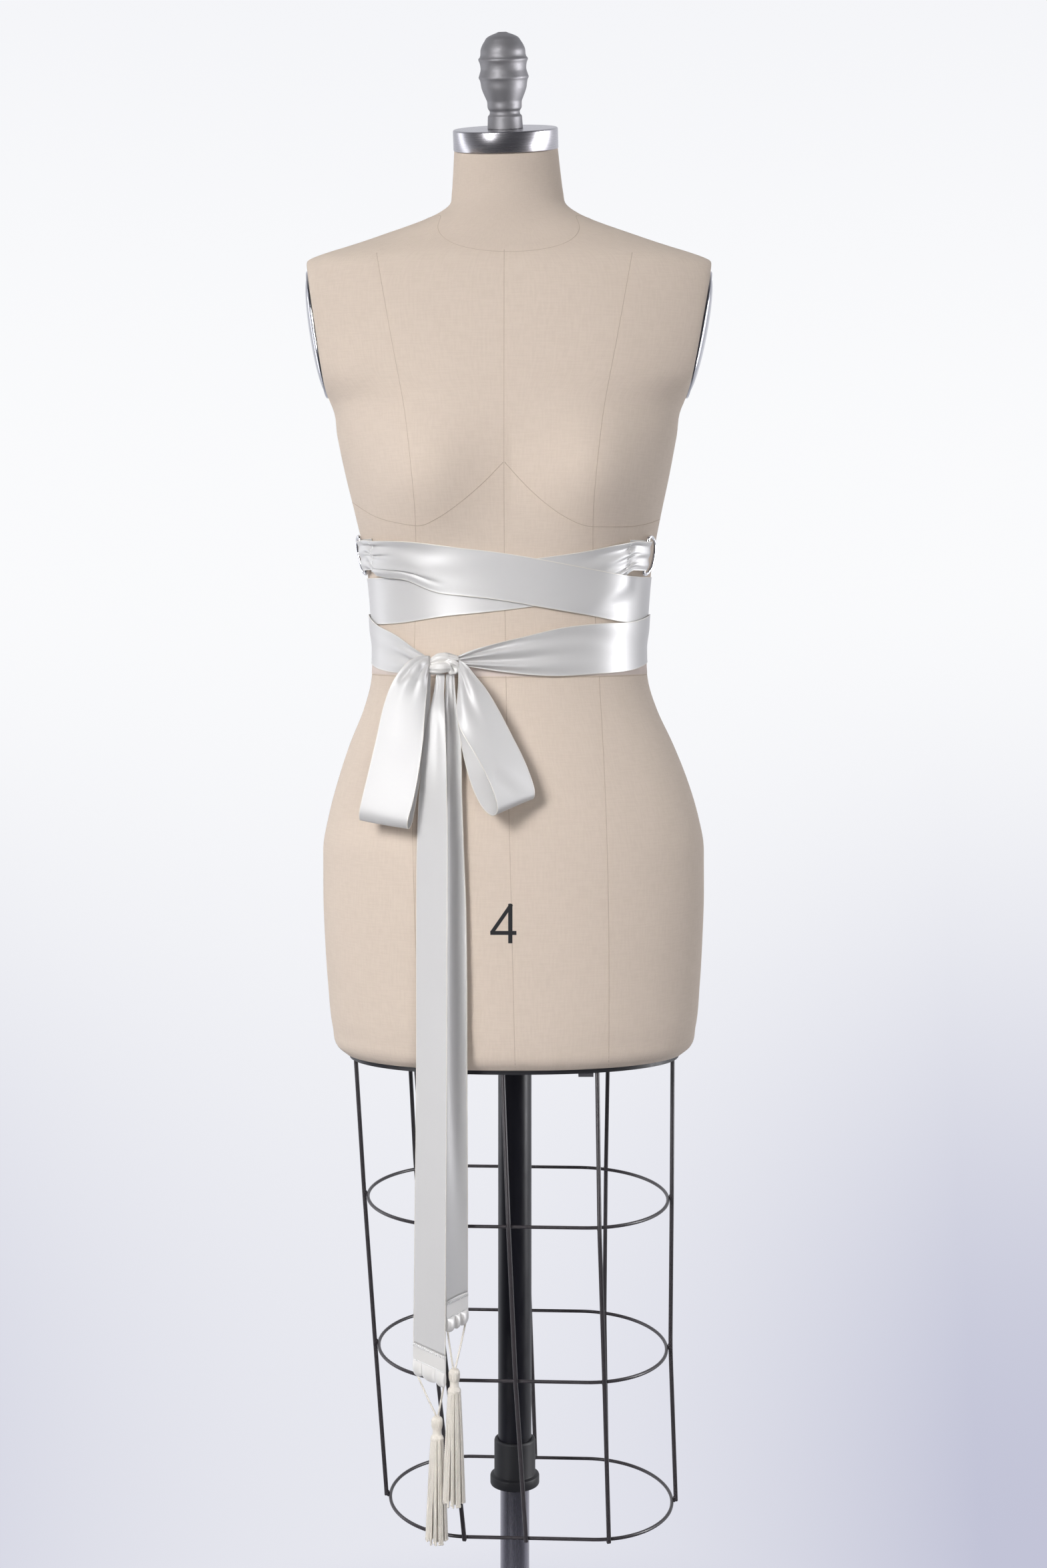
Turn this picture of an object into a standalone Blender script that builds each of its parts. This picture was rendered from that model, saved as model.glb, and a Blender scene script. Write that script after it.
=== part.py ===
"""Satin sash wound round a dress form and tied in a bow, on the form's telescopic stand.

Tables and sizes are in millimetres; solid() turns them into metres. +Z is up, the front of the form
faces -Y, and the origin is the middle of the base's underside. "Left" and "right" are the viewer's,
looking at the front. Angles round the form run from 0 at the front, through 90 at +X, to 180 at the back.
"""

import math

import bmesh
import bpy
import numpy as np

MM = 0.001

# The sash
CLOTH = 1.0          # wall of one layer of satin
GAP = 0.55           # between cloth and whatever it lies on
LAYER = CLOTH + GAP

# The stand and its column
BASE_RADIUS = 210.0
BASE_RIM = 7.0
BASE_SHOULDER = ((13, 200), (20, 70), (30, 34))       # height, radius
HUB_RADIUS = 24.0
HUB_TOP = 70.0
POLE_RADIUS = 13.0
POLE_FOOT = 10.0
POLE_TOP = 560.0
POLE_SIDES = 24               # also of the tube and collar, so that their flats face the pole's
TUBE_RADIUS = 15.0
TUBE_BORE = 13.35
TUBE_FOOT = 316.3
COLLAR_FOOT = 310.0
COLLAR_LIP_TOP = 319.0
COLLAR_TOP = 351.0
COLLAR_RADIUS = 18.4
COLLAR_LIP_RADIUS = 22.0
FLANGE_RADIUS = 45.0
FLANGE_THICKNESS = 5.0
SEAT_GAP = 0.3
ROUND_GAP = 0.39              # between round pieces, whose flats come closer than their corners

# The form
FORM_X = -3.0                 # it sits this far to the left of the pole's axis, and tables of the form,
                              # the cage and the sash are measured from there
ON_POLE_AXIS = ("base", "pole", "tube", "collar")
FORM_BOTTOM = 700.0
FORM_TOP = 1507.0
BOARD_THICKNESS = 4.0
BOARD_INSET = 4.0
NECK_TILT = math.radians(16.0)
NECK_TILT_FROM = 1445.0
NECK_SIDE_TILT = math.radians(1.8)
NECK_CENTRE = (-4.9, -5.0)
CAP_RADIUS = 47.0
CAP_HEIGHT = 18.5
CAP_CHAMFER = 2.0
ARM_PLATE_Z = 1342.0
ARM_PLATE_Y = 3.0
ARM_PLATE_HALF_HEIGHT = 57.0
ARM_PLATE_HALF_DEPTH = 41.0
ARM_PLATE_BULGE = 8.5
ARM_PLATE_EDGE = 2.0
ARM_PLATE_DOME = [            # share of the plate's size, of its edge's thickness, and of the dome over that
    (1, 0, 0), (1, 1, 0), (0.92, 1, 0.5), (0.72, 1, 0.78), (0.42, 1, 0.94), (0.1, 1, 1),
]

# The wire cage under the form
HOOP_WIRE = 1.5
STRUT_WIRE = 1.9
CAGE_CENTRE_Y = 4.0
CAGE_STRAIGHT = 0.42          # share of a hoop's half width that runs straight across
CAGE_TURN = 0.05              # how far the cage is turned, as the forward run of its right side

COLOURS = {
    "satin": ((0.86, 0.85, 0.84), 0.35, 0.0),
    "linen": ((0.66, 0.56, 0.46), 0.9, 0.0),
    "brushed_steel": ((0.62, 0.62, 0.64), 0.3, 1.0),
    "chrome": ((0.75, 0.75, 0.77), 0.12, 1.0),
    "grey_casting": ((0.25, 0.25, 0.27), 0.5, 0.6),
    "black_metal": ((0.03, 0.03, 0.035), 0.45, 0.2),
    "rayon": ((0.84, 0.81, 0.74), 0.6, 0.0),
}

FORM_COLUMNS = ("z", "centre", "half_width", "front", "back", "roundness")
FORM_SECTIONS = [
    (700, 2.5, 151.5, 91, 99, 2.2),
    (706, 2.5, 158.5, 97, 105, 2.2),
    (722, 2.5, 162.5, 101, 109, 2.2),
    (760, 2.3, 166.5, 104, 116, 2.2),
    (800, 2.1, 169, 106, 121, 2.2),
    (845, 2, 170.5, 107, 123, 2.2),
    (880, 1.9, 170.5, 107, 121, 2.2),
    (910, 1.8, 165.5, 106, 114, 2.2),
    (942, 1.2, 156.5, 103, 103, 2.15),
    (975, 0, 144.5, 98, 91, 2.1),
    (1005, -1, 131.5, 92, 82, 2.1),
    (1030, -1.6, 124.2, 88, 77, 2.1),
    (1060, -1.8, 122.5, 87, 76, 2.1),
    (1095, -1.8, 124, 88, 78, 2.1),
    (1141, -2.2, 129, 92, 83, 2.1),
    (1180, -3, 137, 95, 88, 2.15),
    (1215, -3.6, 145, 96, 92, 2.2),
    (1250, -4, 152, 95, 95, 2.2),
    (1277, -4, 157, 92, 97, 2.2),
    (1301, -3.5, 176, 88, 97, 2.3),
    (1325, -3, 185, 84, 96, 2.3),
    (1349, -2.6, 190, 79, 93, 2.3),
    (1373, -2.3, 192, 74, 88, 2.3),
    (1393, -2.1, 190, 68, 80, 2.25),
    (1406, -2.1, 188, 61, 71, 2.1),
    (1419, -2.1, 147, 53, 61, 2.0),
    (1432, -2.3, 110, 50, 56, 2.0),
    (1445, -2.6, 71, 50, 53, 2.0),
    (1457, -3.1, 52.5, 51, 49, 2.0),
    (1469, -3.6, 50, 50.5, 46, 2.0),
    (1483, -4.1, 48.5, 50, 43, 2.0),
    (1507, -4.9, 46.5, 51, 41.5, 2.0),
]
ARMHOLE_TOP = (1400.0, 180.0)      # height and half width of the flat that carries the arm plate
ARMHOLE_SLOPE = 0.17               # how fast that flat leans in going down
ARMHOLE_FOOT = 1272.0
BUST_HEIGHT = 26.0
BUST_CENTRE = (76.0, 1212.0)
BUST_SPREAD = (46.0, 52.0)
FORM_POINTS_AROUND = 40       # ANGLE_STEP apart
FORM_LEVELS = [                    # from, to, steps
    (700, 722, 2), (722, 1030, 8), (1030, 1277, 14), (1277, 1373, 4), (1373, 1406, 2), (1406, 1445, 3),
    (1445, 1507, 3),
]

HOOPS = {            # z, centre_x, half_width, half_depth
    "top": (567.5, 5.4, 134.7, 99.3),
    "middle": (433.5, 9.7, 129.2, 93.6),
    "bottom": (296.7, 17.3, 126.4, 88.3),
}
STRUTS = {           # face, then x where it meets the board and the top, middle and bottom hoops
    "front": ("front", -7, -2, 4, 13),
    "front_right": ("front", 74.5, 75.5, 80, 84),
    "back_right": ("back", 90, 88.5, 87, 89),
    "back": ("back", 6, 12, 17, 22),
    "back_left": ("back", -96, -91, -77, -62),
    "front_left": ("front", -82, -70, -54, -40),
}
SIDE_STRUTS = {"right": (1, 145), "left": (-1, -140.5)}         # side, x where it meets the board
STRUT_SPARE = 0.1
STRUT_INSET = 3.0              # from the board's edge to the middle of a strut's head
CATCH_CENTRE = (64.6, -76.0)
CATCH_SIZE = (13.0, 8.0, 3.0)

FINIAL_PROFILE = [   # height above the cap, radius
    (0, 15.8), (7.7, 15.4), (10.6, 15.2), (12, 13.8), (14.4, 13.4), (17.3, 15), (24, 15.7), (25.4, 16.3),
    (34.6, 19.9), (42.2, 21.4), (44.2, 22.3), (46.6, 21.6), (51.8, 20.3), (56.6, 20.9), (60, 22.1),
    (61.9, 20.7), (69.1, 19.5), (74.9, 16.5), (79.7, 12.1), (82.6, 4.7),
]

# Each length of the sash round the form: one row for a place along it. "lift" is how far it stands off
# the form, "pleat" the depth of the gathers across it.
BAND_COLUMNS = ("angle", "top", "bottom", "lift", "pleat")
SASH_A = [
    (-63.5, 1156.5, 1125.5, 1.4, 2.2),
    (-52, 1156, 1118.5, 0.9, 2.0),
    (-41, 1155, 1114, 0.5, 1.4),
    (-29, 1152, 1110.8, 0.2, 0.5),
    (-6, 1145.5, 1104.5, 0, 0),
    (12, 1138.5, 1097.3, 0, 0),
    (34, 1130.5, 1089.8, 0, 0),
    (49, 1126, 1085, 0, 0),
    (70, 1124, 1083, 0, 0),
    (90, 1124, 1083, 0, 0),
    (122, 1130, 1089, 0, 0),
    (150, 1117, 1076, 0, 0),
    (180, 1107, 1066, 0, 0),
    (215, 1097, 1056, 0, 0),
    (245, 1091.5, 1050, 0, 0),
    (270, 1091, 1048, 0, 0),
    (294, 1081, 1042, 0, 0.4),
    (312, 1071.5, 1039.5, 1.5, 1.4),
    (321, 1062, 1040, 4.5, 2.2),
    (327.3, 1056.3, 1043.8, 8.7, 1.5),
]
SASH_B = [
    (52, 1154.5, 1123, 0, 2.2),
    (41, 1151, 1114, 0, 1.8),
    (30, 1146, 1106, 0, 0.8),
    (12, 1140, 1099, 0, 0),
    (-6, 1134.5, 1093.5, 0, 0),
    (-25, 1130.5, 1089.5, 0, 0),
    (-45, 1125, 1084, 0, 0),
    (-70, 1123, 1082, 0, 0),
    (-90, 1123, 1082, 0, 0),
    (-120, 1121, 1080, 0, 0),
    (-150, 1113.5, 1072.5, 0, 0),
    (-180, 1101, 1060, 0, 0),
    (-210, 1090, 1049, 0, 0),
    (-238, 1084, 1043, 0, 0),
    (-270, 1091, 1048, 0, 0),
    (-304, 1084.2, 1041.2, 0, 0),
    (-325, 1083, 1039.2, 0.5, 0.3),
    (-342, 1079, 1037.8, 1.5, 1.2),
    (-355, 1072, 1039.5, 3, 2.0),
    (-367.5, 1064.5, 1043.5, 5, 2.2),
    (-374, 1060, 1046, 7.5, 1.8),
    (-378.4, 1055.8, 1048.3, 9.3, 0.8),
]
PLEATS_ACROSS = 2.5
STRETCH_GAP = 0.18            # degrees between the solids of neighbouring stretches
ANGLE_STEP = 9.0              # the form and all lengths of the sash have their points at the same angles
BAND_POINTS_ACROSS = 8

B_GOES_OVER = -235.0          # sash A lies over B up to this angle along B; from here on B lies over A
B_GOES_OVER_WITHIN = 8.0
DRAPE_START = 4.0             # the upper sash is fully lifted this far past the lower one's edge
DRAPE_END = 12.0              # and lies on the form again from here
END_DRAPE = (1.0, 7.0)        # the same past its end, in degrees

# The folded ends of the sash and the metal loops in them
SASH_ENDS = {        # stitch_angle, bar_angle, top, bottom
    "left": (-63.8, -75.5, 1157.5, 1130.5),
    "right": (52.3, 64.5, 1156, 1130),
}
LOOP_WIRE = 1.5
LOOP_HALF_HEIGHT = 17.0
LOOP_WIDTH = 15.0
LOOP_SQUARENESS = 0.8         # power that squares up the metal loop's bow
FOLD_RADIUS = 2.6
FOLD_SPARE = 0.2
END_RIPPLE = 1.8

# Strips of the bow: each row gives the two selvedges of the ribbon and how far its middle is cupped.
STRIP_COLUMNS = ("x1", "y1", "z1", "x2", "y2", "z2", "cup")
LEFT_LOOP = [
    (-69.3, -96, 1055.5, -69.3, -97, 1047, 0.5),
    (-77, -101, 1056.5, -70.2, -103, 1042.5, 2),
    (-87.5, -105, 1050.5, -70.8, -108, 1035, 3),
    (-99.5, -107, 1035, -71.2, -112, 1024, 3),
    (-107.5, -108, 1015, -72.5, -115, 1008, 2.5),
    (-113.6, -109, 988, -74.1, -119, 982.5, 1.5),
    (-120.6, -110, 958, -78.1, -122, 954, 1),
    (-126.2, -110.5, 935, -82.6, -124, 931, 1),
    (-129, -109.5, 920.5, -87, -124, 914.5, 1),
    (-128, -104.5, 914.5, -86.5, -119, 908.5, 0.5),
    (-125.5, -98.5, 919.5, -83.5, -112.5, 914, 0),
    (-122, -96.5, 935, -80.5, -108.5, 931, 0),
    (-114, -96.5, 964, -74.5, -106, 964, 0),
    (-104, -97, 996, -69.8, -103.5, 999, 0.5),
    (-90, -95, 1024, -68.4, -99.5, 1026, 1),
    (-76, -91, 1042, -68.6, -95, 1041, 0.5),
    (-70.5, -88, 1050, -69.3, -91.5, 1043.5, 0.3),
]
RIGHT_LOOP = [
    (-44.8, -99, 1046.5, -44.2, -99, 1052.5, 0.5),
    (-44.2, -106, 1035, -38, -103, 1049, 2),
    (-44.8, -111, 1025, -31, -106, 1040, 3),
    (-45.8, -117, 1009, -21.5, -109, 1029, 4),
    (-43.5, -123, 997, -11, -112, 1012, 3.5),
    (-36.6, -129, 985, 0, -115, 991, 2),
    (-27.3, -134, 970, 10.4, -118, 970.5, 1),
    (-18, -137.5, 952, 17.3, -120, 953, 0.5),
    (-12, -139.5, 936, 20.5, -121, 941, 0.5),
    (-10.3, -138, 925.5, 19.5, -119, 935, 0),
    (-14.8, -132, 921.5, 16, -113.5, 934.5, 0),
    (-21.8, -126.5, 926, 10, -111, 940, 0),
    (-29.8, -121.5, 939, 2, -109.5, 951, 0),
    (-36.8, -115.5, 958.5, -7, -108, 971, 0),
    (-42.3, -109, 981.5, -17, -104.5, 994, 0.5),
    (-45.5, -104, 1006, -29.5, -99.5, 1018, 1),
    (-44.8, -102, 1024, -38, -97, 1034, 0.5),
    (-44.2, -98, 1039, -41.5, -95, 1045, 0.3),
]
FRONT_TAIL = [
    (-63.5, -96, 1041.2, -56.5, -96.5, 1040, 0.2),
    (-65.3, -99, 1025, -57, -102, 1025, 2),
    (-68.6, -105, 1011, -56.3, -109, 1011, 3),
    (-72.8, -107.8, 985, -54.8, -116, 985, 3),
    (-75.3, -109, 964, -54, -120, 964, 2),
    (-77.3, -107.5, 943, -53.6, -125, 943, 1.5),
    (-79.5, -104.5, 900, -52.9, -130, 900, 0.5),
    (-80.3, -103, 830, -53.1, -131, 830, 0),
    (-80.5, -102, 700, -53.4, -131, 700, 0),
    (-82, -101, 560, -54.2, -130.5, 560, 0),
    (-82.8, -101, 471.3, -54.7, -130.5, 469.3, 0),
]
REAR_TAIL = [
    (-55.4, -96.5, 1040, -48.4, -96, 1042, -0.2),
    (-55.8, -96.5, 1024, -47.5, -95, 1025, -1),
    (-55, -98, 1010, -46, -95.5, 1011, -1.5),
    (-54.6, -104, 985, -42.5, -98.5, 985, -3),
    (-56, -112.5, 943, -41.5, -103.5, 943, -5),
    (-58.3, -118.5, 900, -40, -108, 900, -6),
    (-58.5, -120.5, 830, -37.5, -109, 830, -6.5),
    (-58.2, -121.5, 700, -36.8, -107.5, 700, -5),
    (-56, -125, 600, -36.6, -105, 600, -3),
    (-54.2, -127, 513.2, -36.8, -102.5, 514.4, -1),
]
STRIP_POINTS_ACROSS = 5
LOOP_STEPS = 26
TAIL_STEPS = 15

KNOT_CENTRE = (-56.8, -96.5, 1049.2)
KNOT_RADII = (11.7, 8.4, 8.8)
KNOT_RIDGES = 3
KNOT_RIDGE_DEPTH = 0.08
KNOT_TURNS = 0.22

HEMS = {             # x1, y1, z1 and x2, y2, z2 of the two ends of the hem line, and the drop below it
    "front": (-82.8, -101, 470.8, -54.7, -130.5, 468.8, 27),
    "rear": (-54.2, -127, 512.7, -36.8, -102.5, 513.9, 26),
}
HEM_FLAT_SHARE = 0.52
HEM_FLAT_THICKNESS = 1.8
HEM_PUFF_THICKNESS = 6.5
HEM_EDGE_THICKNESS = 0.8
HEM_PUFFS = 3
HEM_SCALLOP = 2.2
HEM_LEAST_FULLNESS = 0.35
HEM_ROWS = (0, 0.26, 0.52, 0.57, 0.66, 0.78, 0.9, 0.97, 1)     # shares of the drop

TASSELS = {          # x, y, top, bottom
    "front": (-62.4, -112.5, 412.5, 305),
    "rear": (-47.4, -125.5, 457.5, 342),
}
TASSEL_HEAD_RADIUS = 4.6
TASSEL_HEAD_HEIGHT = 11.0
TASSEL_NECK_RADIUS = 3.9
TASSEL_NECK_HEIGHT = 5.0
TASSEL_SHOULDER_RADIUS = 5.4
TASSEL_SHOULDER_HEIGHT = 4.0
STRAND_RADIUS = 0.7
STRAND_RINGS = [     # strands in the ring, radius at the root, radius at the tip
    (3, 1.2, 2.9), (8, 3.0, 6.3), (12, 4.6, 9.6),
]
STRAND_SEGMENTS = 2
CORD_RADIUS = 0.8
CORD_SAG = 4.0
CORD_INSET = 1.4              # from the hem's corner to the middle of the cord
CORD_BELOW_HEM = 2.4


def column(table, names, name):
    """One named column of a table, as an array."""
    return np.array([row[names.index(name)] for row in table], float)


def smooth(at, known, values):
    """Cubic curve through the known places, with slopes held down so that it doesn't overshoot."""
    order = np.argsort(known)
    known, values = np.asarray(known, float)[order], np.asarray(values, float)[order]
    step = np.diff(known)
    rise = np.diff(values) / step
    slope = np.empty_like(values)
    slope[0], slope[-1] = rise[0], rise[-1]
    mean = (rise[:-1] * step[1:] + rise[1:] * step[:-1]) / (step[:-1] + step[1:])
    limit = 3 * np.minimum(np.abs(rise[:-1]), np.abs(rise[1:]))
    slope[1:-1] = np.where(rise[:-1] * rise[1:] > 0, np.clip(mean, -limit, limit), 0)
    at = np.clip(at, known[0], known[-1])
    i = np.clip(np.searchsorted(known, at, side="right") - 1, 0, len(step) - 1)
    t = (at - known[i]) / step[i]
    return (values[i] * (1 + 2 * t) * (1 - t) ** 2 + slope[i] * step[i] * t * (1 - t) ** 2
            + values[i + 1] * t * t * (3 - 2 * t) + slope[i + 1] * step[i] * t * t * (t - 1))


def smoothstep(t):
    """0 below 0, 1 above 1, and an easy curve between."""
    t = np.clip(t, 0, 1)
    return t * t * (3 - 2 * t)


def form_size(z, name):
    """A column of the form's table at height z."""
    return smooth(z, column(FORM_SECTIONS, FORM_COLUMNS, "z"), column(FORM_SECTIONS, FORM_COLUMNS, name))


def armhole_flat(z):
    """Half width of the form at the flats of its armholes."""
    return ARMHOLE_TOP[1] - (ARMHOLE_TOP[0] - z) * ARMHOLE_SLOPE


def form_point(angle, z):
    """Point on the form: a superellipse with its own front and back depth, flat at the armholes,
    with two soft mounds for the bust, and a neck sheared forward above the shoulders."""
    angle, z = np.broadcast_arrays(np.radians(angle), np.asarray(z, float))
    side, front = np.sin(angle), np.cos(angle)
    power = 2 / form_size(z, "roundness")
    x = np.sign(side) * form_size(z, "half_width") * np.abs(side) ** power
    depth = np.where(front > 0, form_size(z, "front"), form_size(z, "back"))
    y = -np.sign(front) * depth * np.abs(front) ** power
    flat = armhole_flat(z)
    x = np.where(z > ARMHOLE_FOOT, np.clip(x, -flat, flat), x) + form_size(z, "centre")
    mound = np.exp(-((np.abs(x) - BUST_CENTRE[0]) / BUST_SPREAD[0]) ** 2
                   - ((z - BUST_CENTRE[1]) / BUST_SPREAD[1]) ** 2)
    y = y - BUST_HEIGHT * mound * smoothstep(front * 2)
    lean = smoothstep((z - NECK_TILT_FROM) / (FORM_TOP - NECK_TILT_FROM))
    rise = (y - NECK_CENTRE[1]) * math.tan(NECK_TILT) + (x - NECK_CENTRE[0]) * math.tan(NECK_SIDE_TILT)
    return np.stack([x, y, z + rise * lean], -1)


def form_normal(angle, z):
    """Outward normal of the form, from its slopes round and up."""
    around = form_point(angle + 0.5, z) - form_point(angle - 0.5, z)
    up = form_point(angle, z + 1.0) - form_point(angle, z - 1.0)
    normal = np.cross(around, up)
    return normal / np.linalg.norm(normal, axis=-1, keepdims=True)


def material(name):
    """A Principled material with the part's colour, roughness and metallic value."""
    made = bpy.data.materials.get(name)
    if made is None:
        colour, roughness, metallic = COLOURS[name]
        made = bpy.data.materials.new(name)
        made.use_nodes = True
        made.diffuse_color = (*colour, 1)
        shader = made.node_tree.nodes["Principled BSDF"]
        shader.inputs["Base Color"].default_value = (*colour, 1)
        shader.inputs["Roughness"].default_value = roughness
        shader.inputs["Metallic"].default_value = metallic
    return made


def place(name, data, finish):
    """Puts mesh or curve data in the scene as one named object."""
    data.materials.append(material(finish))
    made = bpy.data.objects.new(name, data)
    bpy.context.scene.collection.objects.link(made)
    return made


def seat_form():
    """Moves all that the column carries to where the form sits on it, a little to one side."""
    seat = bpy.data.objects.new("form_seat", None)
    bpy.context.scene.collection.objects.link(seat)
    seat.location = (FORM_X * MM, 0, 0)
    for piece in list(bpy.context.scene.objects):
        if piece is not seat and piece.parent is None and piece.name not in ON_POLE_AXIS:
            piece.parent = seat


def solid(name, points, faces, finish, sharp=40):
    """A closed mesh from points in millimetres, with its faces turned outwards."""
    mesh = bpy.data.meshes.new(name)
    mesh.from_pydata((np.asarray(points) * MM).tolist(), [], faces)
    shape = bmesh.new()
    shape.from_mesh(mesh)
    bmesh.ops.recalc_face_normals(shape, faces=shape.faces)
    shape.to_mesh(mesh)
    shape.free()
    mesh.shade_smooth()
    mesh.set_sharp_from_angle(angle=math.radians(sharp))
    return place(name, mesh, finish)


def grid_faces(rows, columns, start=0, wrap=False):
    """Quads over a grid of points, closed round its columns if wrap is set."""
    across = columns if wrap else columns - 1
    return [(start + r * columns + c, start + r * columns + (c + 1) % columns,
             start + (r + 1) * columns + (c + 1) % columns, start + (r + 1) * columns + c)
            for r in range(rows - 1) for c in range(across)]


def lofted(name, rings, finish, sharp=40):
    """A closed solid through rings of points, with a flat face over the first and the last."""
    rows, columns = rings.shape[:2]
    faces = grid_faces(rows, columns, wrap=True)
    faces.append(tuple(range(columns)))
    faces.append(tuple(range((rows - 1) * columns, rows * columns)))
    return solid(name, rings.reshape(-1, 3), faces, finish, sharp)


def turned(name, profile, sides, finish, closed=False, sharp=30):
    """A profile of (height, radius) turned round Z. A closed one, which encloses a bore, joins its ends."""
    turn = np.linspace(0, 2 * math.pi, sides, endpoint=False)
    rings = np.array([[(r * math.cos(a), r * math.sin(a), h) for a in turn] for h, r in profile])
    if not closed:
        return lofted(name, rings, finish, sharp)
    rows = len(profile)
    faces = grid_faces(rows, sides, wrap=True)
    faces += [((rows - 1) * sides + c, (rows - 1) * sides + (c + 1) % sides, (c + 1) % sides, c)
              for c in range(sides)]
    return solid(name, rings.reshape(-1, 3), faces, finish, sharp)


def surface_normals(grid):
    """Unit normals of a grid of points, from its slopes both ways."""
    normal = np.cross(np.gradient(grid, axis=0), np.gradient(grid, axis=1))
    return normal / np.maximum(np.linalg.norm(normal, axis=-1, keepdims=True), 1e-9)


def wall(name, inner, outer, finish):
    """A closed wall between two grids of points."""
    rows, columns = inner.shape[:2]
    count = rows * columns
    faces = grid_faces(rows, columns) + grid_faces(rows, columns, start=count)
    rim = ([c for c in range(columns)] + [r * columns + columns - 1 for r in range(1, rows)]
           + [(rows - 1) * columns + c for c in range(columns - 2, -1, -1)]
           + [r * columns for r in range(rows - 2, 0, -1)])
    faces += [(a, b, b + count, a + count) for a, b in zip(rim, rim[1:] + rim[:1])]
    return solid(name, np.concatenate([inner.reshape(-1, 3), outer.reshape(-1, 3)]), faces, finish)


def wire(name, points, radius, finish, closed=False):
    """A round wire or cord along a line of points."""
    curve = bpy.data.curves.new(name, "CURVE")
    curve.dimensions = "3D"
    line = curve.splines.new("POLY")
    line.points.add(len(points) - 1)
    for spot, point in zip(line.points, points):
        spot.co = (*(np.asarray(point) * MM), 1)
    line.use_cyclic_u = closed
    line.use_smooth = True
    curve.bevel_depth = radius * MM
    curve.bevel_resolution = 1
    curve.use_fill_caps = not closed
    return place(name, curve, finish)


def make_stand():
    """The weighted base with its hub, and the pole that stands in it."""
    bore = POLE_RADIUS + ROUND_GAP
    turned("base", [
        (0, BASE_RADIUS), (BASE_RIM, BASE_RADIUS), *BASE_SHOULDER, (HUB_TOP - 3, HUB_RADIUS),
        (HUB_TOP, HUB_RADIUS - 2), (HUB_TOP, bore), (POLE_FOOT - SEAT_GAP, bore)], 32, "black_metal")
    turned("pole", [(POLE_FOOT, POLE_RADIUS), (POLE_TOP, POLE_RADIUS)], POLE_SIDES, "brushed_steel")


def make_column():
    """The black tube that slides on the pole, its collar, and the flange under the form."""
    top = FORM_BOTTOM - SEAT_GAP - BOARD_THICKNESS - SEAT_GAP
    plug = top - FLANGE_THICKNESS
    turned("tube", [
        (TUBE_FOOT, TUBE_BORE), (TUBE_FOOT, TUBE_RADIUS), (plug, TUBE_RADIUS), (plug, FLANGE_RADIUS),
        (top, FLANGE_RADIUS), (top, TUBE_BORE)], POLE_SIDES, "black_metal", closed=True)
    socket = TUBE_RADIUS + ROUND_GAP
    floor = TUBE_FOOT - SEAT_GAP
    turned("collar", [
        (COLLAR_FOOT, TUBE_BORE), (COLLAR_FOOT, COLLAR_LIP_RADIUS - 1), (COLLAR_FOOT + 1, COLLAR_LIP_RADIUS),
        (COLLAR_LIP_TOP - 1, COLLAR_LIP_RADIUS), (COLLAR_LIP_TOP, COLLAR_LIP_RADIUS - 1),
        (COLLAR_LIP_TOP + 0.5, COLLAR_RADIUS), (COLLAR_TOP - 1.5, COLLAR_RADIUS),
        (COLLAR_TOP, COLLAR_RADIUS - 1.2), (COLLAR_TOP, socket), (floor, socket), (floor, TUBE_BORE)],
        POLE_SIDES, "black_metal", closed=True)


def make_form():
    """The linen-covered form, the board that closes its underside, and the plates in its armholes."""
    turn = np.arange(FORM_POINTS_AROUND) * 360.0 / FORM_POINTS_AROUND
    runs = [np.linspace(low, high, steps + 1) for low, high, steps in FORM_LEVELS]
    levels = np.unique(np.concatenate(runs))
    rings = form_point(turn[None, :], levels[:, None])
    lofted("form_body", rings, "linen", sharp=60)

    outline = form_point(turn, FORM_BOTTOM + 0 * turn)
    away = outline[:, :2] / np.linalg.norm(outline[:, :2], axis=1, keepdims=True)
    outline[:, :2] -= away * BOARD_INSET
    top = FORM_BOTTOM - SEAT_GAP
    board = np.array([outline + (0, 0, z - FORM_BOTTOM) for z in (top - BOARD_THICKNESS, top)])
    lofted("bottom_board", board, "black_metal")

    for name, sign in (("left", -1), ("right", 1)):
        make_arm_plate(name, sign)


def make_arm_plate(name, sign):
    """A domed oval plate lying on the flat of the armhole."""
    turn = np.linspace(0, 2 * math.pi, 20, endpoint=False)
    rings = []
    dome = ARM_PLATE_BULGE - ARM_PLATE_EDGE
    for share, edge, rise in ARM_PLATE_DOME:
        out = ARM_PLATE_EDGE * edge + dome * rise
        up = ARM_PLATE_HALF_HEIGHT * share * np.cos(turn)
        deep = ARM_PLATE_HALF_DEPTH * share * np.sin(turn)
        z = ARM_PLATE_Z + up
        x = form_size(z, "centre") + sign * (armhole_flat(z) + ROUND_GAP + out)
        rings.append(np.stack([x, deep + ARM_PLATE_Y, z], -1))
    lofted(f"arm_plate_{name}", np.array(rings), "chrome")


def make_neck():
    """The metal cap on the sloping neck and the turned finial on it, both square to the slope."""
    pivot = bpy.data.objects.new("neck_pivot", None)
    bpy.context.scene.collection.objects.link(pivot)
    pivot.location = (NECK_CENTRE[0] * MM, NECK_CENTRE[1] * MM, (FORM_TOP + ROUND_GAP) * MM)
    pivot.rotation_euler = (NECK_TILT, -NECK_SIDE_TILT, 0)
    cap = turned("neck_cap", [(0, CAP_RADIUS), (CAP_HEIGHT - CAP_CHAMFER, CAP_RADIUS),
                              (CAP_HEIGHT, CAP_RADIUS - CAP_CHAMFER)], 32, "brushed_steel")
    foot = CAP_HEIGHT + SEAT_GAP
    finial = turned("finial", [(foot + h, r) for h, r in FINIAL_PROFILE], 16, "grey_casting")
    for piece in (cap, finial):
        piece.parent = pivot


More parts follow.
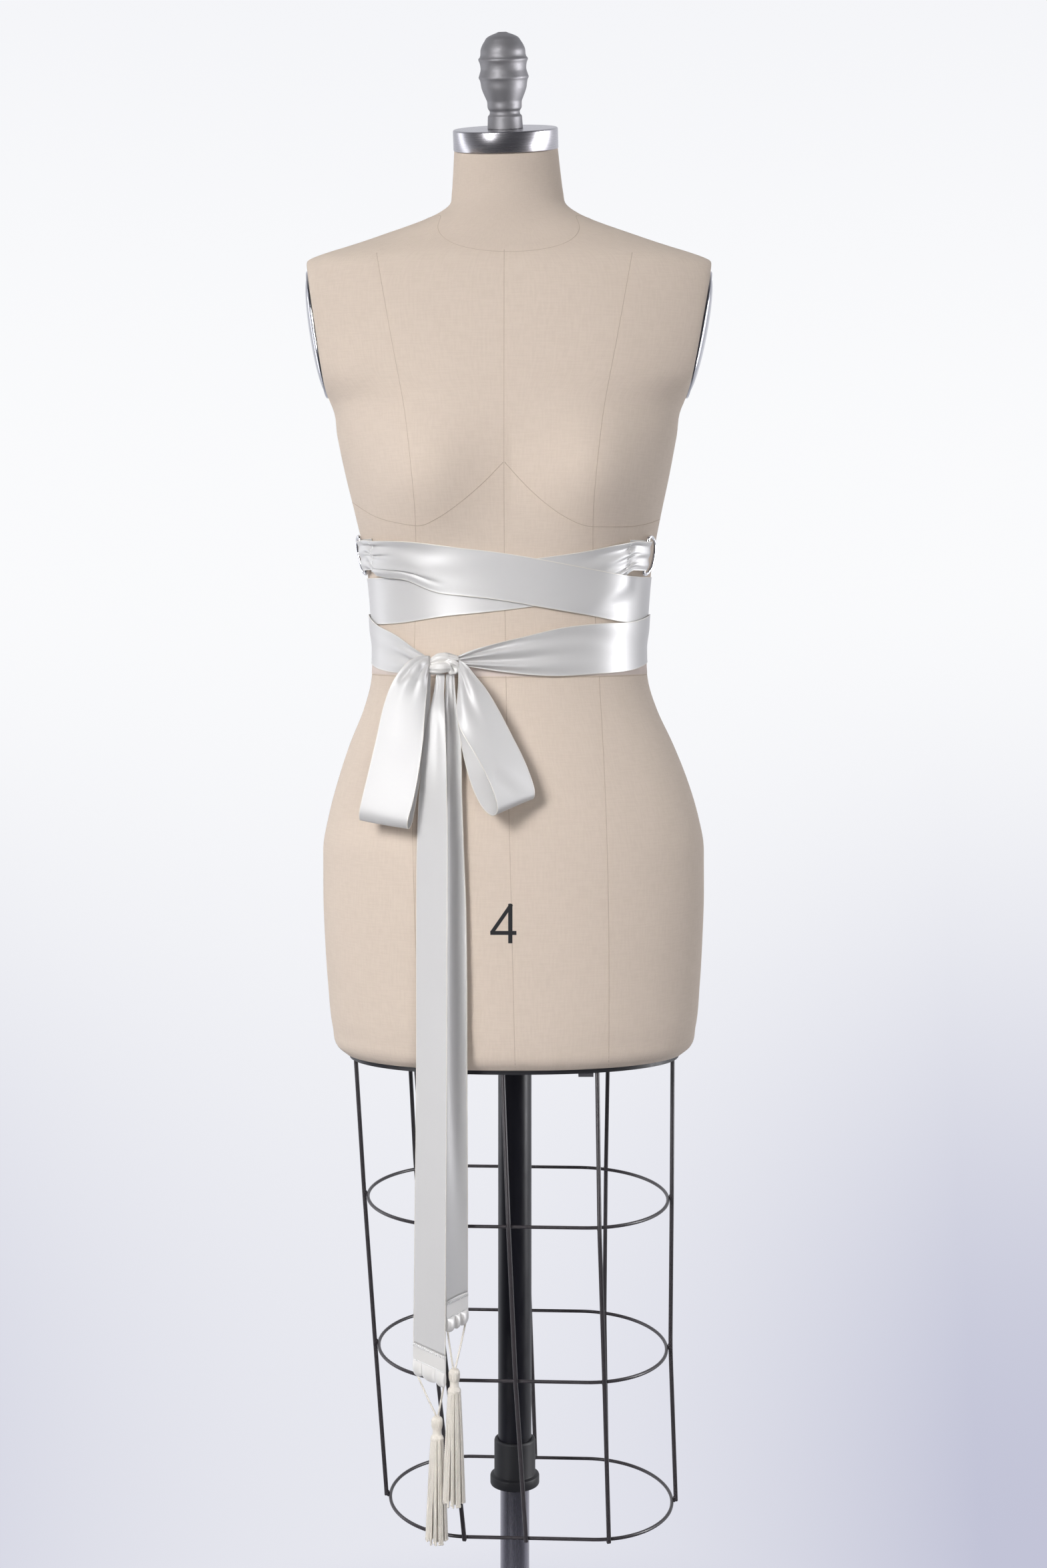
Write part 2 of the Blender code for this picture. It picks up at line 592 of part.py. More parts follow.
def hoop_line(z, centre_x, half_width, half_depth):
    """Points round a hoop: straight across the front and the back, with elliptical ends."""
    straight = CAGE_STRAIGHT * half_width
    arc = np.radians(np.linspace(0, 90, 9))
    side = straight + (half_width - straight) * np.sin(arc)
    deep = half_depth * np.cos(arc)
    x = np.concatenate([side, side[-2::-1], -side, -side[-2::-1]])
    y = np.concatenate([-deep, deep[-2::-1], deep, -deep[-2::-1]])
    return np.stack([centre_x + x, CAGE_CENTRE_Y + y - CAGE_TURN * x, np.full_like(x, z)], -1)


def hoop_depth(x, z, centre_x, half_width, half_depth):
    """Half depth of a hoop at x, and how far the cage's turn brings it forward there."""
    straight = CAGE_STRAIGHT * half_width
    share = max(0.0, abs(x - centre_x) - straight) / (half_width - straight)
    return half_depth * math.sqrt(1 - share * share), CAGE_TURN * (x - centre_x)


def board_edge(x, front):
    """y of the bottom board's edge at x, at its front or its back."""
    share = abs(x - form_size(FORM_BOTTOM, "centre")) / form_size(FORM_BOTTOM, "half_width")
    power = form_size(FORM_BOTTOM, "roundness")
    deep = (1 - share ** power) ** (1 / power)
    return BOARD_INSET - form_size(FORM_BOTTOM, "front") * deep if front else (
        form_size(FORM_BOTTOM, "back") * deep - BOARD_INSET)


def make_cage():
    """Three wire hoops, the struts that run down outside them from the board, and the board's catch."""
    for name, row in HOOPS.items():
        wire(f"cage_hoop_{name}", hoop_line(*row), HOOP_WIRE, "black_metal", closed=True)
    start = FORM_BOTTOM - SEAT_GAP - BOARD_THICKNESS - SEAT_GAP
    reach = HOOP_WIRE + STRUT_WIRE + SEAT_GAP
    foot = HOOPS["bottom"][0] - HOOP_WIRE
    for name, (face, board_x, *hoop_x) in STRUTS.items():
        front = face == "front"
        points = [(board_x, board_edge(board_x, front) + (STRUT_INSET if front else -STRUT_INSET), start)]
        for x, row in zip(hoop_x, HOOPS.values()):
            deep, forward = hoop_depth(x, *row)
            deep = (deep + reach + STRUT_SPARE) * (-1 if front else 1)
            points.append((x, CAGE_CENTRE_Y + deep - forward, row[0]))
        points.append((*points[-1][:2], foot))
        wire(f"cage_strut_{name}", points, STRUT_WIRE, "black_metal")
    for name, (side, board_x) in SIDE_STRUTS.items():
        points = [(board_x, CAGE_CENTRE_Y, start)]
        for z, centre_x, half_width, _ in HOOPS.values():
            out = side * (half_width + reach)
            points.append((centre_x + out, CAGE_CENTRE_Y - CAGE_TURN * out, z))
        points.append((*points[-1][:2], foot))
        wire(f"cage_strut_{name}", points, STRUT_WIRE, "black_metal")
    low = [CATCH_CENTRE[0] - CATCH_SIZE[0] / 2, CATCH_CENTRE[1] - CATCH_SIZE[1] / 2, start - CATCH_SIZE[2]]
    box = np.array([[[low[0] + dx * CATCH_SIZE[0], low[1] + dy * CATCH_SIZE[1], low[2] + dz * CATCH_SIZE[2]]
                     for dx, dy in ((0, 0), (1, 0), (1, 1), (0, 1))] for dz in (0, 1)])
    lofted("board_catch", box, "brushed_steel")


def band_edge(table, name, angle):
    """Height of a sash's edge, or its lift or pleat, at an angle along it."""
    return smooth(angle, column(table, BAND_COLUMNS, "angle"), column(table, BAND_COLUMNS, name))


def a_over_b(along_b):
    """1 where sash A lies over B, going by the angle along B, 0 where B lies over A."""
    return smoothstep((along_b - B_GOES_OVER) / B_GOES_OVER_WITHIN + 0.5)


def lift_over(lower, weight, angle, z):
    """Height of one layer over a lower sash at this place, eased down beyond that sash's edges.
    weight tells, from the angle along B, whether the sash asked about is the upper one there."""
    best = np.zeros(np.broadcast(angle, z).shape)
    known = column(lower, BAND_COLUMNS, "angle")
    for turn in (-720, -360, 0, 360, 720):
        along = np.asarray(angle) + turn
        beyond = np.maximum(known.min() - along, along - known.max())
        top, bottom = band_edge(lower, "top", along), band_edge(lower, "bottom", along)
        past = np.abs(z - (top + bottom) / 2) - (top - bottom) / 2
        ease = 1 - smoothstep((past - DRAPE_START) / (DRAPE_END - DRAPE_START))
        high = LAYER + band_edge(lower, "lift", along) + band_edge(lower, "pleat", along)
        ease = ease * (1 - smoothstep((beyond - END_DRAPE[0]) / (END_DRAPE[1] - END_DRAPE[0])))
        best = np.maximum(best, ease * high * weight(along))
    return best


def make_band(name, table, over, low, high):
    """One stretch of a sash on the form, from angle low to high. A point is the form's point at that
    angle and height, moved out by the gap, the layer under it, its lift and its pleats."""
    shared = np.arange(-80, 80) * ANGLE_STEP
    angles = np.concatenate([[low], shared[(shared > low + 1) & (shared < high - 1)], [high]])
    across = np.linspace(0, 1, BAND_POINTS_ACROSS)
    angle, t = np.meshgrid(angles, across, indexing="ij")
    bottom, top = band_edge(table, "bottom", angle), band_edge(table, "top", angle)
    z = bottom + (top - bottom) * t
    pleat = band_edge(table, "pleat", angle) * (0.5 - 0.5 * np.cos(2 * math.pi * PLEATS_ACROSS * t))
    off = GAP + over(angle, z) + band_edge(table, "lift", angle) + pleat
    base, normal = form_point(angle, z), form_normal(angle, z)
    inner = base + normal * off[..., None]
    return wall(name, inner, inner + normal * CLOTH, "satin")


def make_bands():
    """Both sashes, each in three stretches: across the front, round the back, and in to the knot."""
    def a_lift(angle, z):
        return lift_over(SASH_B, a_over_b, angle, z)

    def b_lift(angle, z):
        return lift_over(SASH_A, lambda along: 1.0, angle, z) * (1 - a_over_b(angle))

    gap = STRETCH_GAP / 2
    make_band("sash_a_front", SASH_A, a_lift, SASH_A[0][0], 90 - gap)
    make_band("sash_a_back", SASH_A, a_lift, 90 + gap, 270 - gap)
    make_band("sash_a_waist", SASH_A, a_lift, 270 + gap, SASH_A[-1][0])
    make_band("sash_b_front", SASH_B, b_lift, -90 + gap, SASH_B[0][0])
    make_band("sash_b_back", SASH_B, b_lift, -270 + gap, -90 - gap)
    make_band("sash_b_waist", SASH_B, b_lift, SASH_B[-1][0], -270 - gap)


def make_end(name, stitch_angle, bar_angle, top, bottom):
    """The end of a sash, folded back round the bar of a metal loop and stitched down, and that loop."""
    sign = math.copysign(1, bar_angle)
    middle = (top + bottom) / 2
    bar = form_point(bar_angle, middle)
    out = form_normal(bar_angle, middle)
    bar_off = GAP + FOLD_RADIUS + CLOTH / 2 + FOLD_SPARE
    centre = bar + out * bar_off
    up = form_point(bar_angle, middle + 5) - form_point(bar_angle, middle - 5)
    up /= np.linalg.norm(up)
    side = np.cross(up, out) * sign
    side /= np.linalg.norm(side)
    side *= math.copysign(1, side[0] * sign)

    bar_half = LOOP_HALF_HEIGHT - LOOP_WIRE
    ring = [centre + up * h for h in np.linspace(bar_half, -bar_half, 5)]
    ring += [centre + side * LOOP_WIDTH * math.cos(a) ** LOOP_SQUARENESS
             + up * LOOP_HALF_HEIGHT * math.copysign(abs(math.sin(a)) ** LOOP_SQUARENESS, a)
             for a in np.radians(np.linspace(-80, 80, 11))]
    wire(f"metal_loop_{name}", ring, LOOP_WIRE, "chrome", closed=True)

    across = np.linspace(0, 1, 8)
    z = bottom + (top - bottom) * across
    ripple = 0.5 - 0.5 * np.cos(2 * math.pi * PLEATS_ACROSS * across)
    lines = []
    for angle in np.linspace(stitch_angle, bar_angle, 3)[:-1]:
        lines.append(form_point(angle, z) + form_normal(angle, z) * (GAP + CLOTH / 2))
    foot = form_point(bar_angle, z)
    normal = form_normal(bar_angle, z)
    for a in np.linspace(-90, 90, 5):
        reach = side * math.cos(math.radians(a)) * FOLD_RADIUS
        rise = normal * (bar_off + math.sin(math.radians(a)) * FOLD_RADIUS)
        lines.append(foot + rise + reach)
    stitched = GAP * 2 + CLOTH * 1.5
    for share in (0.35, 0.7, 1):
        angle = bar_angle + (stitch_angle - bar_angle) * share
        high = bar_off + FOLD_RADIUS + (stitched - bar_off - FOLD_RADIUS) * share
        lift = high + END_RIPPLE * ripple * share
        lines.append(form_point(angle, z) + form_normal(angle, z) * lift[:, None])
    grid = np.array(lines)
    half = surface_normals(grid) * CLOTH / 2
    wall(f"sash_end_{name}", grid - half, grid + half, "satin")


def strip_grid(table, steps, across):
    """Points of a ribbon between its two selvedges, cupped along the middle by a parabola."""
    rows = np.array(table, float)
    spot = rows[:, [STRIP_COLUMNS.index(n) for n in ("x1", "y1", "z1")]]
    other = rows[:, [STRIP_COLUMNS.index(n) for n in ("x2", "y2", "z2")]]
    cup = rows[:, STRIP_COLUMNS.index("cup")]
    middle = (spot + other) / 2
    run = np.concatenate([[0], np.cumsum(np.linalg.norm(np.diff(middle, axis=0), axis=1))])
    along = np.linspace(0, run[-1], steps)
    one = np.stack([smooth(along, run, spot[:, i]) for i in range(3)], -1)
    two = np.stack([smooth(along, run, other[:, i]) for i in range(3)], -1)
    t = np.linspace(0, 1, across)
    flat = one[:, None] * (1 - t[:, None]) + two[:, None] * t[:, None]
    bow = smooth(along, run, cup)[:, None] * 4 * t * (1 - t)
    return flat + surface_normals(flat) * bow[..., None]


def make_strip(name, table, steps):
    """A ribbon of the bow as a wall of even thickness."""
    grid = strip_grid(table, steps, STRIP_POINTS_ACROSS)
    half = surface_normals(grid) * CLOTH / 2
    return wall(name, grid - half, grid + half, "satin")


def make_knot():
    """The knot: an egg shape with slanting ridges where the ribbon is wound over itself."""
    rings = []
    for polar in np.radians(np.linspace(8, 172, 11)):
        turn = np.linspace(0, 2 * math.pi, 14, endpoint=False)
        ridge = 1 + KNOT_RIDGE_DEPTH * np.cos(KNOT_RIDGES * (polar * 2 - math.pi) + KNOT_TURNS * 2 * math.pi
                                             + np.sin(turn)) - KNOT_RIDGE_DEPTH
        x = np.full_like(turn, math.cos(polar)) * KNOT_RADII[0]
        y = math.sin(polar) * np.cos(turn) * KNOT_RADII[1] * ridge
        z = math.sin(polar) * np.sin(turn) * KNOT_RADII[2] * ridge
        rings.append(np.stack([x, y, z], -1) + KNOT_CENTRE)
    lofted("knot", np.array(rings), "satin", sharp=80)


def make_hem(name, x1, y1, z1, x2, y2, z2, drop):
    """The hem of a tail: a flat band of two layers, then a casing drawn into puffs with a scalloped edge."""
    one, two = np.array([x1, y1, z1], float), np.array([x2, y2, z2], float)
    across = np.linspace(0, 1, 10)
    u, v = np.meshgrid(across, HEM_ROWS, indexing="ij")
    wide = (two - one) / np.linalg.norm(two - one)
    facing = np.cross(wide, (0, 0, -1.0))
    facing /= np.linalg.norm(facing)
    puff = np.abs(np.sin(math.pi * HEM_PUFFS * u)) ** 0.7
    length = drop - HEM_SCALLOP * (1 - puff)
    middle = one + (two - one) * u[..., None] - length[..., None] * v[..., None] * np.array([0, 0, 1.0])
    swell = np.clip((v - HEM_FLAT_SHARE) / (1 - HEM_FLAT_SHARE), 0, 1)
    fullness = HEM_LEAST_FULLNESS + (1 - HEM_LEAST_FULLNESS) * puff
    full = HEM_PUFF_THICKNESS * fullness * np.sqrt(np.clip(1 - (2 * swell - 1) ** 2, 0, 1))
    least = HEM_FLAT_THICKNESS * (1 - swell) + HEM_EDGE_THICKNESS
    thick = np.where(v < HEM_FLAT_SHARE, HEM_FLAT_THICKNESS, np.maximum(full, least))
    half = facing * (thick / 2)[..., None]
    wall(f"hem_{name}", middle - half, middle + half, "satin")


def make_tassel(name, x, y, top, bottom):
    """A tassel: a bound head, and strands that fan out from roots fused into it."""
    shoulder = top - TASSEL_HEAD_HEIGHT - TASSEL_NECK_HEIGHT
    root = shoulder - TASSEL_SHOULDER_HEIGHT
    head = turned(f"tassel_{name}", [
        (root, TASSEL_SHOULDER_RADIUS), (shoulder - 1, TASSEL_SHOULDER_RADIUS - 0.4),
        (shoulder + 0.6, TASSEL_NECK_RADIUS), (shoulder + TASSEL_NECK_HEIGHT - 0.6, TASSEL_NECK_RADIUS),
        (shoulder + TASSEL_NECK_HEIGHT + 1.5, TASSEL_HEAD_RADIUS), (top - 3, TASSEL_HEAD_RADIUS),
        (top - 0.8, TASSEL_HEAD_RADIUS * 0.7), (top, TASSEL_HEAD_RADIUS * 0.3)], 16, "rayon")
    points, faces = [], []
    rng = np.random.default_rng(7)
    for count, root_radius, tip_radius in STRAND_RINGS:
        for turn in (np.arange(count) + 0.5 * (count % 2)) * 2 * math.pi / count:
            tip = bottom + rng.uniform(0, 4)
            start = len(points)
            for share in np.linspace(0, 1, STRAND_SEGMENTS + 1):
                z = root + 2 + (tip - root - 2) * share
                spread = root_radius + (tip_radius - root_radius) * share ** 0.8
                for corner in range(3):
                    a = turn + corner * 2 * math.pi / 3
                    points.append((spread * math.cos(turn) + STRAND_RADIUS * math.cos(a),
                                   spread * math.sin(turn) + STRAND_RADIUS * math.sin(a), z))
            faces += grid_faces(STRAND_SEGMENTS + 1, 3, start=start, wrap=True)
            faces.append((start, start + 1, start + 2))
            last = start + STRAND_SEGMENTS * 3
            faces.append((last, last + 1, last + 2))
    strands = solid(f"tassel_strands_{name}", points, faces, "rayon")
    strands.hide_render = True
    strands.display_type = "WIRE"
    fuse = head.modifiers.new("fuse", "BOOLEAN")
    fuse.operation = "UNION"
    fuse.object = strands
    for piece in (head, strands):
        piece.location = (x * MM, y * MM, 0)


def make_tassel_cords(name):
    """Two cords that hang from the ends of a hem's casing and meet over its tassel."""
    x1, y1, z1, x2, y2, z2, drop = HEMS[name]
    x, y, top, _ = TASSELS[name]
    for side, (hx, hy, hz), sign in (("left", (x1, y1, z1), -1), ("right", (x2, y2, z2), 1)):
        other = (x2, y2) if side == "left" else (x1, y1)
        inward = np.array([other[0] - hx, other[1] - hy])
        inward *= CORD_INSET / np.linalg.norm(inward)
        start = np.array([hx + inward[0], hy + inward[1], hz - drop + HEM_SCALLOP - CORD_BELOW_HEM])
        end = np.array([x + sign * (CORD_RADIUS + SEAT_GAP), y, top + CORD_RADIUS + SEAT_GAP / 3])
        share = np.linspace(0, 1, 6)[:, None]
        sag = np.array([0, 0, -CORD_SAG]) * share * (1 - share)
        wire(f"cord_{name}_{side}", start + (end - start) * share + sag, CORD_RADIUS, "rayon")


def main():
    for old in list(bpy.data.objects):
        bpy.data.objects.remove(old, do_unlink=True)
    make_stand()
    make_column()
    make_form()
    make_neck()
    make_cage()
    make_bands()
    for name, row in SASH_ENDS.items():
        make_end(name, *row)
    make_strip("loop_left", LEFT_LOOP, LOOP_STEPS)
    make_strip("loop_right", RIGHT_LOOP, LOOP_STEPS)
    make_strip("tail_front", FRONT_TAIL, TAIL_STEPS)
    make_strip("tail_rear", REAR_TAIL, TAIL_STEPS)
    make_knot()
    for name, row in HEMS.items():
        make_hem(name, *row)
        make_tassel_cords(name)
    for name, row in TASSELS.items():
        make_tassel(name, *row)
    seat_form()


main()
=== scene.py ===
"""Looks of a satin sash wound round a linen dress form and tied in a bow.

Tables and sizes are in millimetres, and skin() turns them into metres. +Z is up and the front of the form
faces -Y. The tables of the form, the cage and the sash are measured from the form's own middle, which sits
FORM_X beside the pole's axis. "Left" and "right" are the viewer's, looking at the front.
"""

import math

import bpy
import numpy as np
from mathutils import Euler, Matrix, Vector


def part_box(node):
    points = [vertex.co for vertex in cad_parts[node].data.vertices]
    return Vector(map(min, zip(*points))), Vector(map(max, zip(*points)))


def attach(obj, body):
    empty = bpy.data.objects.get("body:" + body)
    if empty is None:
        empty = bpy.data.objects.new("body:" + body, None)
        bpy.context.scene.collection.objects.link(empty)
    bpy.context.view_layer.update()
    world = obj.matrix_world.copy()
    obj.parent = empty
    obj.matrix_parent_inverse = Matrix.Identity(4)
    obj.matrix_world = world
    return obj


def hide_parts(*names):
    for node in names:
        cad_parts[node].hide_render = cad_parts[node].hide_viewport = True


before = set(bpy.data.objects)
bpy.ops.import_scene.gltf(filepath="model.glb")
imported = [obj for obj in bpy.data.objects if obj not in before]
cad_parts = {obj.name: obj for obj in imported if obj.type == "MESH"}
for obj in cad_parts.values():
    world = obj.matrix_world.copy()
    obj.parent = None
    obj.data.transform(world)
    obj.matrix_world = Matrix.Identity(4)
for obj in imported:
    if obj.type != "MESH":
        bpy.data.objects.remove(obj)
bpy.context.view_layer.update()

MM = 0.001
FORM_X = -3.0

# Cloth
RIBBON_WIDTH = 41.0
CLOTH = 1.0                   # room that one layer takes
GAP = 0.55
LAYER = CLOTH + GAP
SATIN_HALF = 0.2              # half of the satin's thickness
SELVEDGE_HALF = 0.16          # how much thicker half of the selvedge is
SELVEDGE_REACH = 0.9
EDGE_SHARES = (0, 0.012, 0.03)
ACROSS = np.concatenate([EDGE_SHARES, np.linspace(0.05, 0.95, 45), 1 - np.array(EDGE_SHARES[::-1])])

# The form
FORM_BOTTOM = 700.0
FORM_TOP = 1507.0
FORM_COLUMNS = ("z", "centre", "half_width", "front", "back", "roundness")
FORM_SECTIONS = [
    (700, 2.5, 151.5, 91, 99, 2.2),
    (706, 2.5, 158.5, 97, 105, 2.2),
    (722, 2.5, 162.5, 101, 109, 2.2),
    (760, 2.3, 166.5, 104, 116, 2.2),
    (800, 2.1, 169, 106, 121, 2.2),
    (845, 2, 170.5, 107, 123, 2.2),
    (880, 1.9, 170.5, 107, 121, 2.2),
    (910, 1.8, 165.5, 106, 114, 2.2),
    (942, 1.2, 156.5, 103, 103, 2.15),
    (975, 0, 144.5, 98, 91, 2.1),
    (1005, -1, 131.5, 92, 82, 2.1),
    (1030, -1.6, 124.2, 88, 77, 2.1),
    (1060, -1.8, 122.5, 87, 76, 2.1),
    (1095, -1.8, 124, 88, 78, 2.1),
    (1141, -2.2, 129, 92, 83, 2.1),
    (1180, -3, 137, 95, 88, 2.15),
    (1215, -3.6, 145, 96, 92, 2.2),
    (1250, -4, 152, 95, 95, 2.2),
    (1277, -4, 157, 92, 97, 2.2),
    (1301, -3.5, 176, 88, 97, 2.3),
    (1325, -3, 185, 84, 96, 2.3),
    (1349, -2.6, 190, 79, 93, 2.3),
    (1373, -2.3, 192, 74, 88, 2.3),
    (1393, -2.1, 190, 68, 80, 2.25),
    (1406, -2.1, 188, 61, 71, 2.1),
    (1419, -2.1, 147, 53, 61, 2.0),
    (1432, -2.3, 110, 50, 56, 2.0),
    (1445, -2.6, 71, 50, 53, 2.0),
    (1457, -3.1, 52.5, 51, 49, 2.0),
    (1469, -3.6, 50, 50.5, 46, 2.0),
    (1483, -4.1, 48.5, 50, 43, 2.0),
    (1507, -4.9, 46.5, 51, 41.5, 2.0),
]
SHOULDER_TURN = (1374.0, 20.0, 1450.0, 18.0)      # start and reach of the rounding, and of its end
SHOULDER_ROUNDING = 8.0
AVERAGING = ((-1, 0.15), (-0.5, 0.2), (0, 0.3), (0.5, 0.2), (1, 0.15))      # share of the rounding, weight
ARMHOLE_TOP = (1400.0, 180.0)
ARMHOLE_SLOPE = 0.17
ARMHOLE_FOOT = 1262.0
ARMHOLE_FOOT_REACH = 20.0
ARMHOLE_ROUNDING = 4.0
BUST_HEIGHT = 26.0
BUST_CENTRE = (76.0, 1212.0)
BUST_SPREAD = (46.0, 52.0)
NECK_TILT = math.radians(16.0)
NECK_TILT_FROM = 1445.0
NECK_SIDE_TILT = math.radians(1.8)
NECK_CENTRE = (-4.9, -5.0)
ROUND_GAP = 0.39
SEAT_GAP = 0.3
FORM_RUNS = [(700, 706, 7), (706, 1384, 226), (1384, 1462, 66), (1462, 1507, 16)]      # from, to, steps
FORM_POINTS_AROUND = 180
FORM_ANGLES = np.arange(FORM_POINTS_AROUND) * 360.0 / FORM_POINTS_AROUND
FORM_EXTRA_ANGLES = (0.5, 1.0, 1.5)      # in the valley between the breasts

# The sash round the form: one row for a place along it
BAND_COLUMNS = ("angle", "top", "bottom", "lift", "pleat")
SASH_A = [
    (-63.5, 1156.5, 1125.8, 1.4, 2.2),
    (-52, 1156, 1123, 1.0, 2.0),
    (-46, 1155.6, 1122.4, 0.9, 1.7),
    (-41, 1155, 1120.4, 0.7, 1.4),
    (-35, 1153.8, 1115, 0.4, 0.9),
    (-29, 1152, 1110.4, 0.2, 0.5),
    (-18, 1148.7, 1107.4, 0.1, 0.2),
    (-6, 1145.5, 1104.5, 0, 0),
    (12, 1138.5, 1097.3, 0, 0),
    (34, 1130.5, 1089.8, 0, 0),
    (49, 1126, 1085, 0, 0),
    (70, 1124, 1083, 0, 0),
    (90, 1124, 1083, 0, 0),
    (122, 1130, 1089, 0, 0),
    (150, 1117, 1076, 0, 0),
    (180, 1107, 1066, 0, 0),
    (215, 1097, 1056, 0, 0),
    (245, 1091.5, 1050, 0, 0),
    (270, 1091, 1048, 0, 0),
    (294, 1081, 1042, 0, 0.4),
    (312, 1071.5, 1039.5, 1.5, 1.4),
    (321, 1062, 1040, 4.5, 2.2),
    (327.3, 1056.3, 1043.8, 8.7, 1.5),
]
SASH_B = [
    (52, 1154.5, 1123, 0, 2.2),
    (41, 1151, 1114, 0, 1.8),
    (30, 1146, 1106, 0, 0.8),
    (12, 1140, 1099, 0, 0),
    (-6, 1134.5, 1093.5, 0, 0),
    (-25, 1130.5, 1089.5, 0, 0),
    (-45, 1125, 1084, 0, 0),
    (-70, 1123, 1082, 0, 0),
    (-90, 1123, 1082, 0, 0),
    (-120, 1121, 1080, 0, 0),
    (-150, 1113.5, 1072.5, 0, 0),
    (-180, 1101, 1060, 0, 0),
    (-210, 1090, 1049, 0, 0),
    (-238, 1084, 1043, 0, 0),
    (-270, 1091, 1048, 0, 0),
    (-304, 1084.2, 1041.2, 0, 0),
    (-325, 1083, 1039.2, 0.5, 0.3),
    (-342, 1079, 1037.8, 1.5, 1.2),
    (-355, 1072, 1039.5, 3, 2.0),
    (-367.5, 1064.5, 1043.5, 5, 2.2),
    (-374, 1060, 1046, 7.5, 1.8),
    (-378.4, 1055.8, 1048.3, 9.3, 0.8),
]
PLEATS_ACROSS = 2.5
BAND_STEP = 0.8               # degrees between rows
BAND_SOFTENING = 20           # passes, before the creases are added
B_GOES_OVER = -235.0
B_GOES_OVER_WITHIN = 8.0
DRAPE = (4.0, 22.0)           # distance beyond a sash's edge from which a layer over it comes down, and ends
END_DRAPE = (1.0, 7.0)        # the same beyond its end, in degrees

# The folded ends and their metal loops: stitch_angle, bar_angle, top, bottom
SASH_ENDS = {
    "left": (-63.8, -75.5, 1157.5, 1130.5),
    "right": (52.3, 64.5, 1156, 1130),
}
LOOP_WIRE = 1.5
LOOP_HALF_HEIGHT = 17.0
LOOP_WIDTH = 15.0
LOOP_SQUARENESS = 0.8
FOLD_RADIUS = 2.6
FOLD_SPARE = 0.2
END_RIPPLE = 1.8
BAR_RIPPLE = (0.5, 1.1)       # of the cloth round the bar: away from the sash, and outwards
UNDER_ROWS = 9                # rows of a folded end under the bar; as many lie over it
ROUND_ROWS = 11
HANGING_FROM = 14             # first row that a fold may pull down
SOFTENED_FROM = 6
FOLD_DEPTH = 0.8              # the deepest that a crease may be at the fold
CREASE_ROOM = 0.15            # and over the form, how far it may press into the gap
STITCH = (0.6, 2.2, 0.22)     # swing in rows, pitch, radius of the thread

# Soft ridges (height above 0) and troughs (below) of the cloth: along and across at both ends, then height,
# width and bend. "along" is measured from the stitching or the knot, "across" from the ribbon's lower edge or
# a loop's first edge. A fold's height is how far the cloth hangs down over the crease below it.
CREASES_A_START = [
    (-14, 11.5, 84, 8, -3.4, 1.5, 1.5),
    (-14, 16.5, 96, 15, 2.6, 3.6, 2),
    (-14, 5.5, 50, 4, 1.9, 3.0, 0),
    (-14, 24, 34, 25, -2.1, 1.3, 0),
    (-12, 28, 38, 29, 1.5, 2.2, 0),
    (-14, 33, 28, 34, -1.7, 1.2, 0),
    (-14, 37, 24, 37, 1.1, 2.0, 0),
    (-14, 19.5, 30, 20.5, -1.3, 1.1, 0),
]
FOLDS_A_START = [
    (-10, 14.5, 86, 12, 4.4, 2.5, 1.5),
    (-10, 27, 30, 28, 1.6, 1.8, 0),
]
CREASES_B_START = [
    (-14, 13, 44, 8, -1.3, 1.5, 0),
    (-14, 18, 40, 16, 1.0, 3.0, 0),
    (-14, 6, 22, 4, -0.8, 1.6, 0),
    (-14, 24, 20, 22, -1.0, 1.3, 0),
    (-10, 29, 24, 27, 0.7, 2.4, 0),
    (-14, 35, 14, 33, -0.9, 1.3, 0),
]
FOLDS_B_START = [(-10, 16, 40, 12, 1.4, 2.3, 0)]
CREASES_A_KNOT = [
    (-4, 24, 62, 34, 1.8, 4.6, 0),
    (-4, 17, 70, 20, -1.7, 3.6, 1),
    (-4, 10, 56, 8, 1.4, 4.0, 0),
    (-4, 31, 30, 38, -0.9, 2.6, 0),
    (14, 4, 90, 12, -0.6, 6.0, 0),
]
CREASES_B_KNOT = [
    (-4, 28, 74, 37, -2.2, 3.0, 3),
    (-4, 22, 96, 33, 2.4, 3.6, 2),
    (-4, 13, 104, 24, -2.0, 3.6, -3),
    (-4, 8, 120, 14, 1.8, 4.2, 0),
    (-4, 35, 50, 40, 1.3, 2.2, 0),
    (6, 3, 90, 5, -1.2, 2.8, 0),
]
CREASES_LEFT_LOOP = [
    (4, 7, 46, 5.5, -2.4, 2.2, 1.5),
    (4, 1, 60, 1, 1.0, 2.6, 0),
    (6, 15, 54, 13, 1.8, 3.4, 2),
    (3, 24, 44, 27, -2.2, 2.4, 1),
    (2, 33, 48, 34, 1.2, 3.0, 0),
    (30, 3, 12, 40, -3.0, 2.4, 3),
    (38, 3, 18, 44, 1.4, 3.4, 3),
    (70, 16, 128, 12, 0.6, 9.0, 0),
    (200, 18, 262, 20, -1.0, 7.0, 0),
]
CREASES_RIGHT_LOOP = [
    (2, 8, 78, 10, 2.3, 3.6, 0),
    (2, 16, 70, 20, -1.8, 3.2, 1),
    (6, 26, 72, 26, 1.3, 4.4, 0),
    (34, 32, 108, 29, -1.0, 7.0, 0),
    (0, 35, 44, 38, -1.2, 2.4, 0),
    (98, 10, 118, 36, 0.9, 4.2, 0),
    (110, 4, 130, 30, -0.7, 3.6, 0),
    (170, 20, 262, 20, -1.2, 6.0, 0),
]
CREASES_FRONT_TAIL = [
    (0, 10, 34, 22, -2.0, 3.0, 0),
    (0, 24, 40, 34, 1.6, 3.6, 0),
    (16, 8, 110, 12, 1.2, 4.6, 2),
    (40, 24, 130, 26, -1.0, 5.0, 1),
    (110, 22, 260, 25, 0.5, 8.0, 0),
    (250, 16, 460, 12, -0.5, 9.0, 3),
]
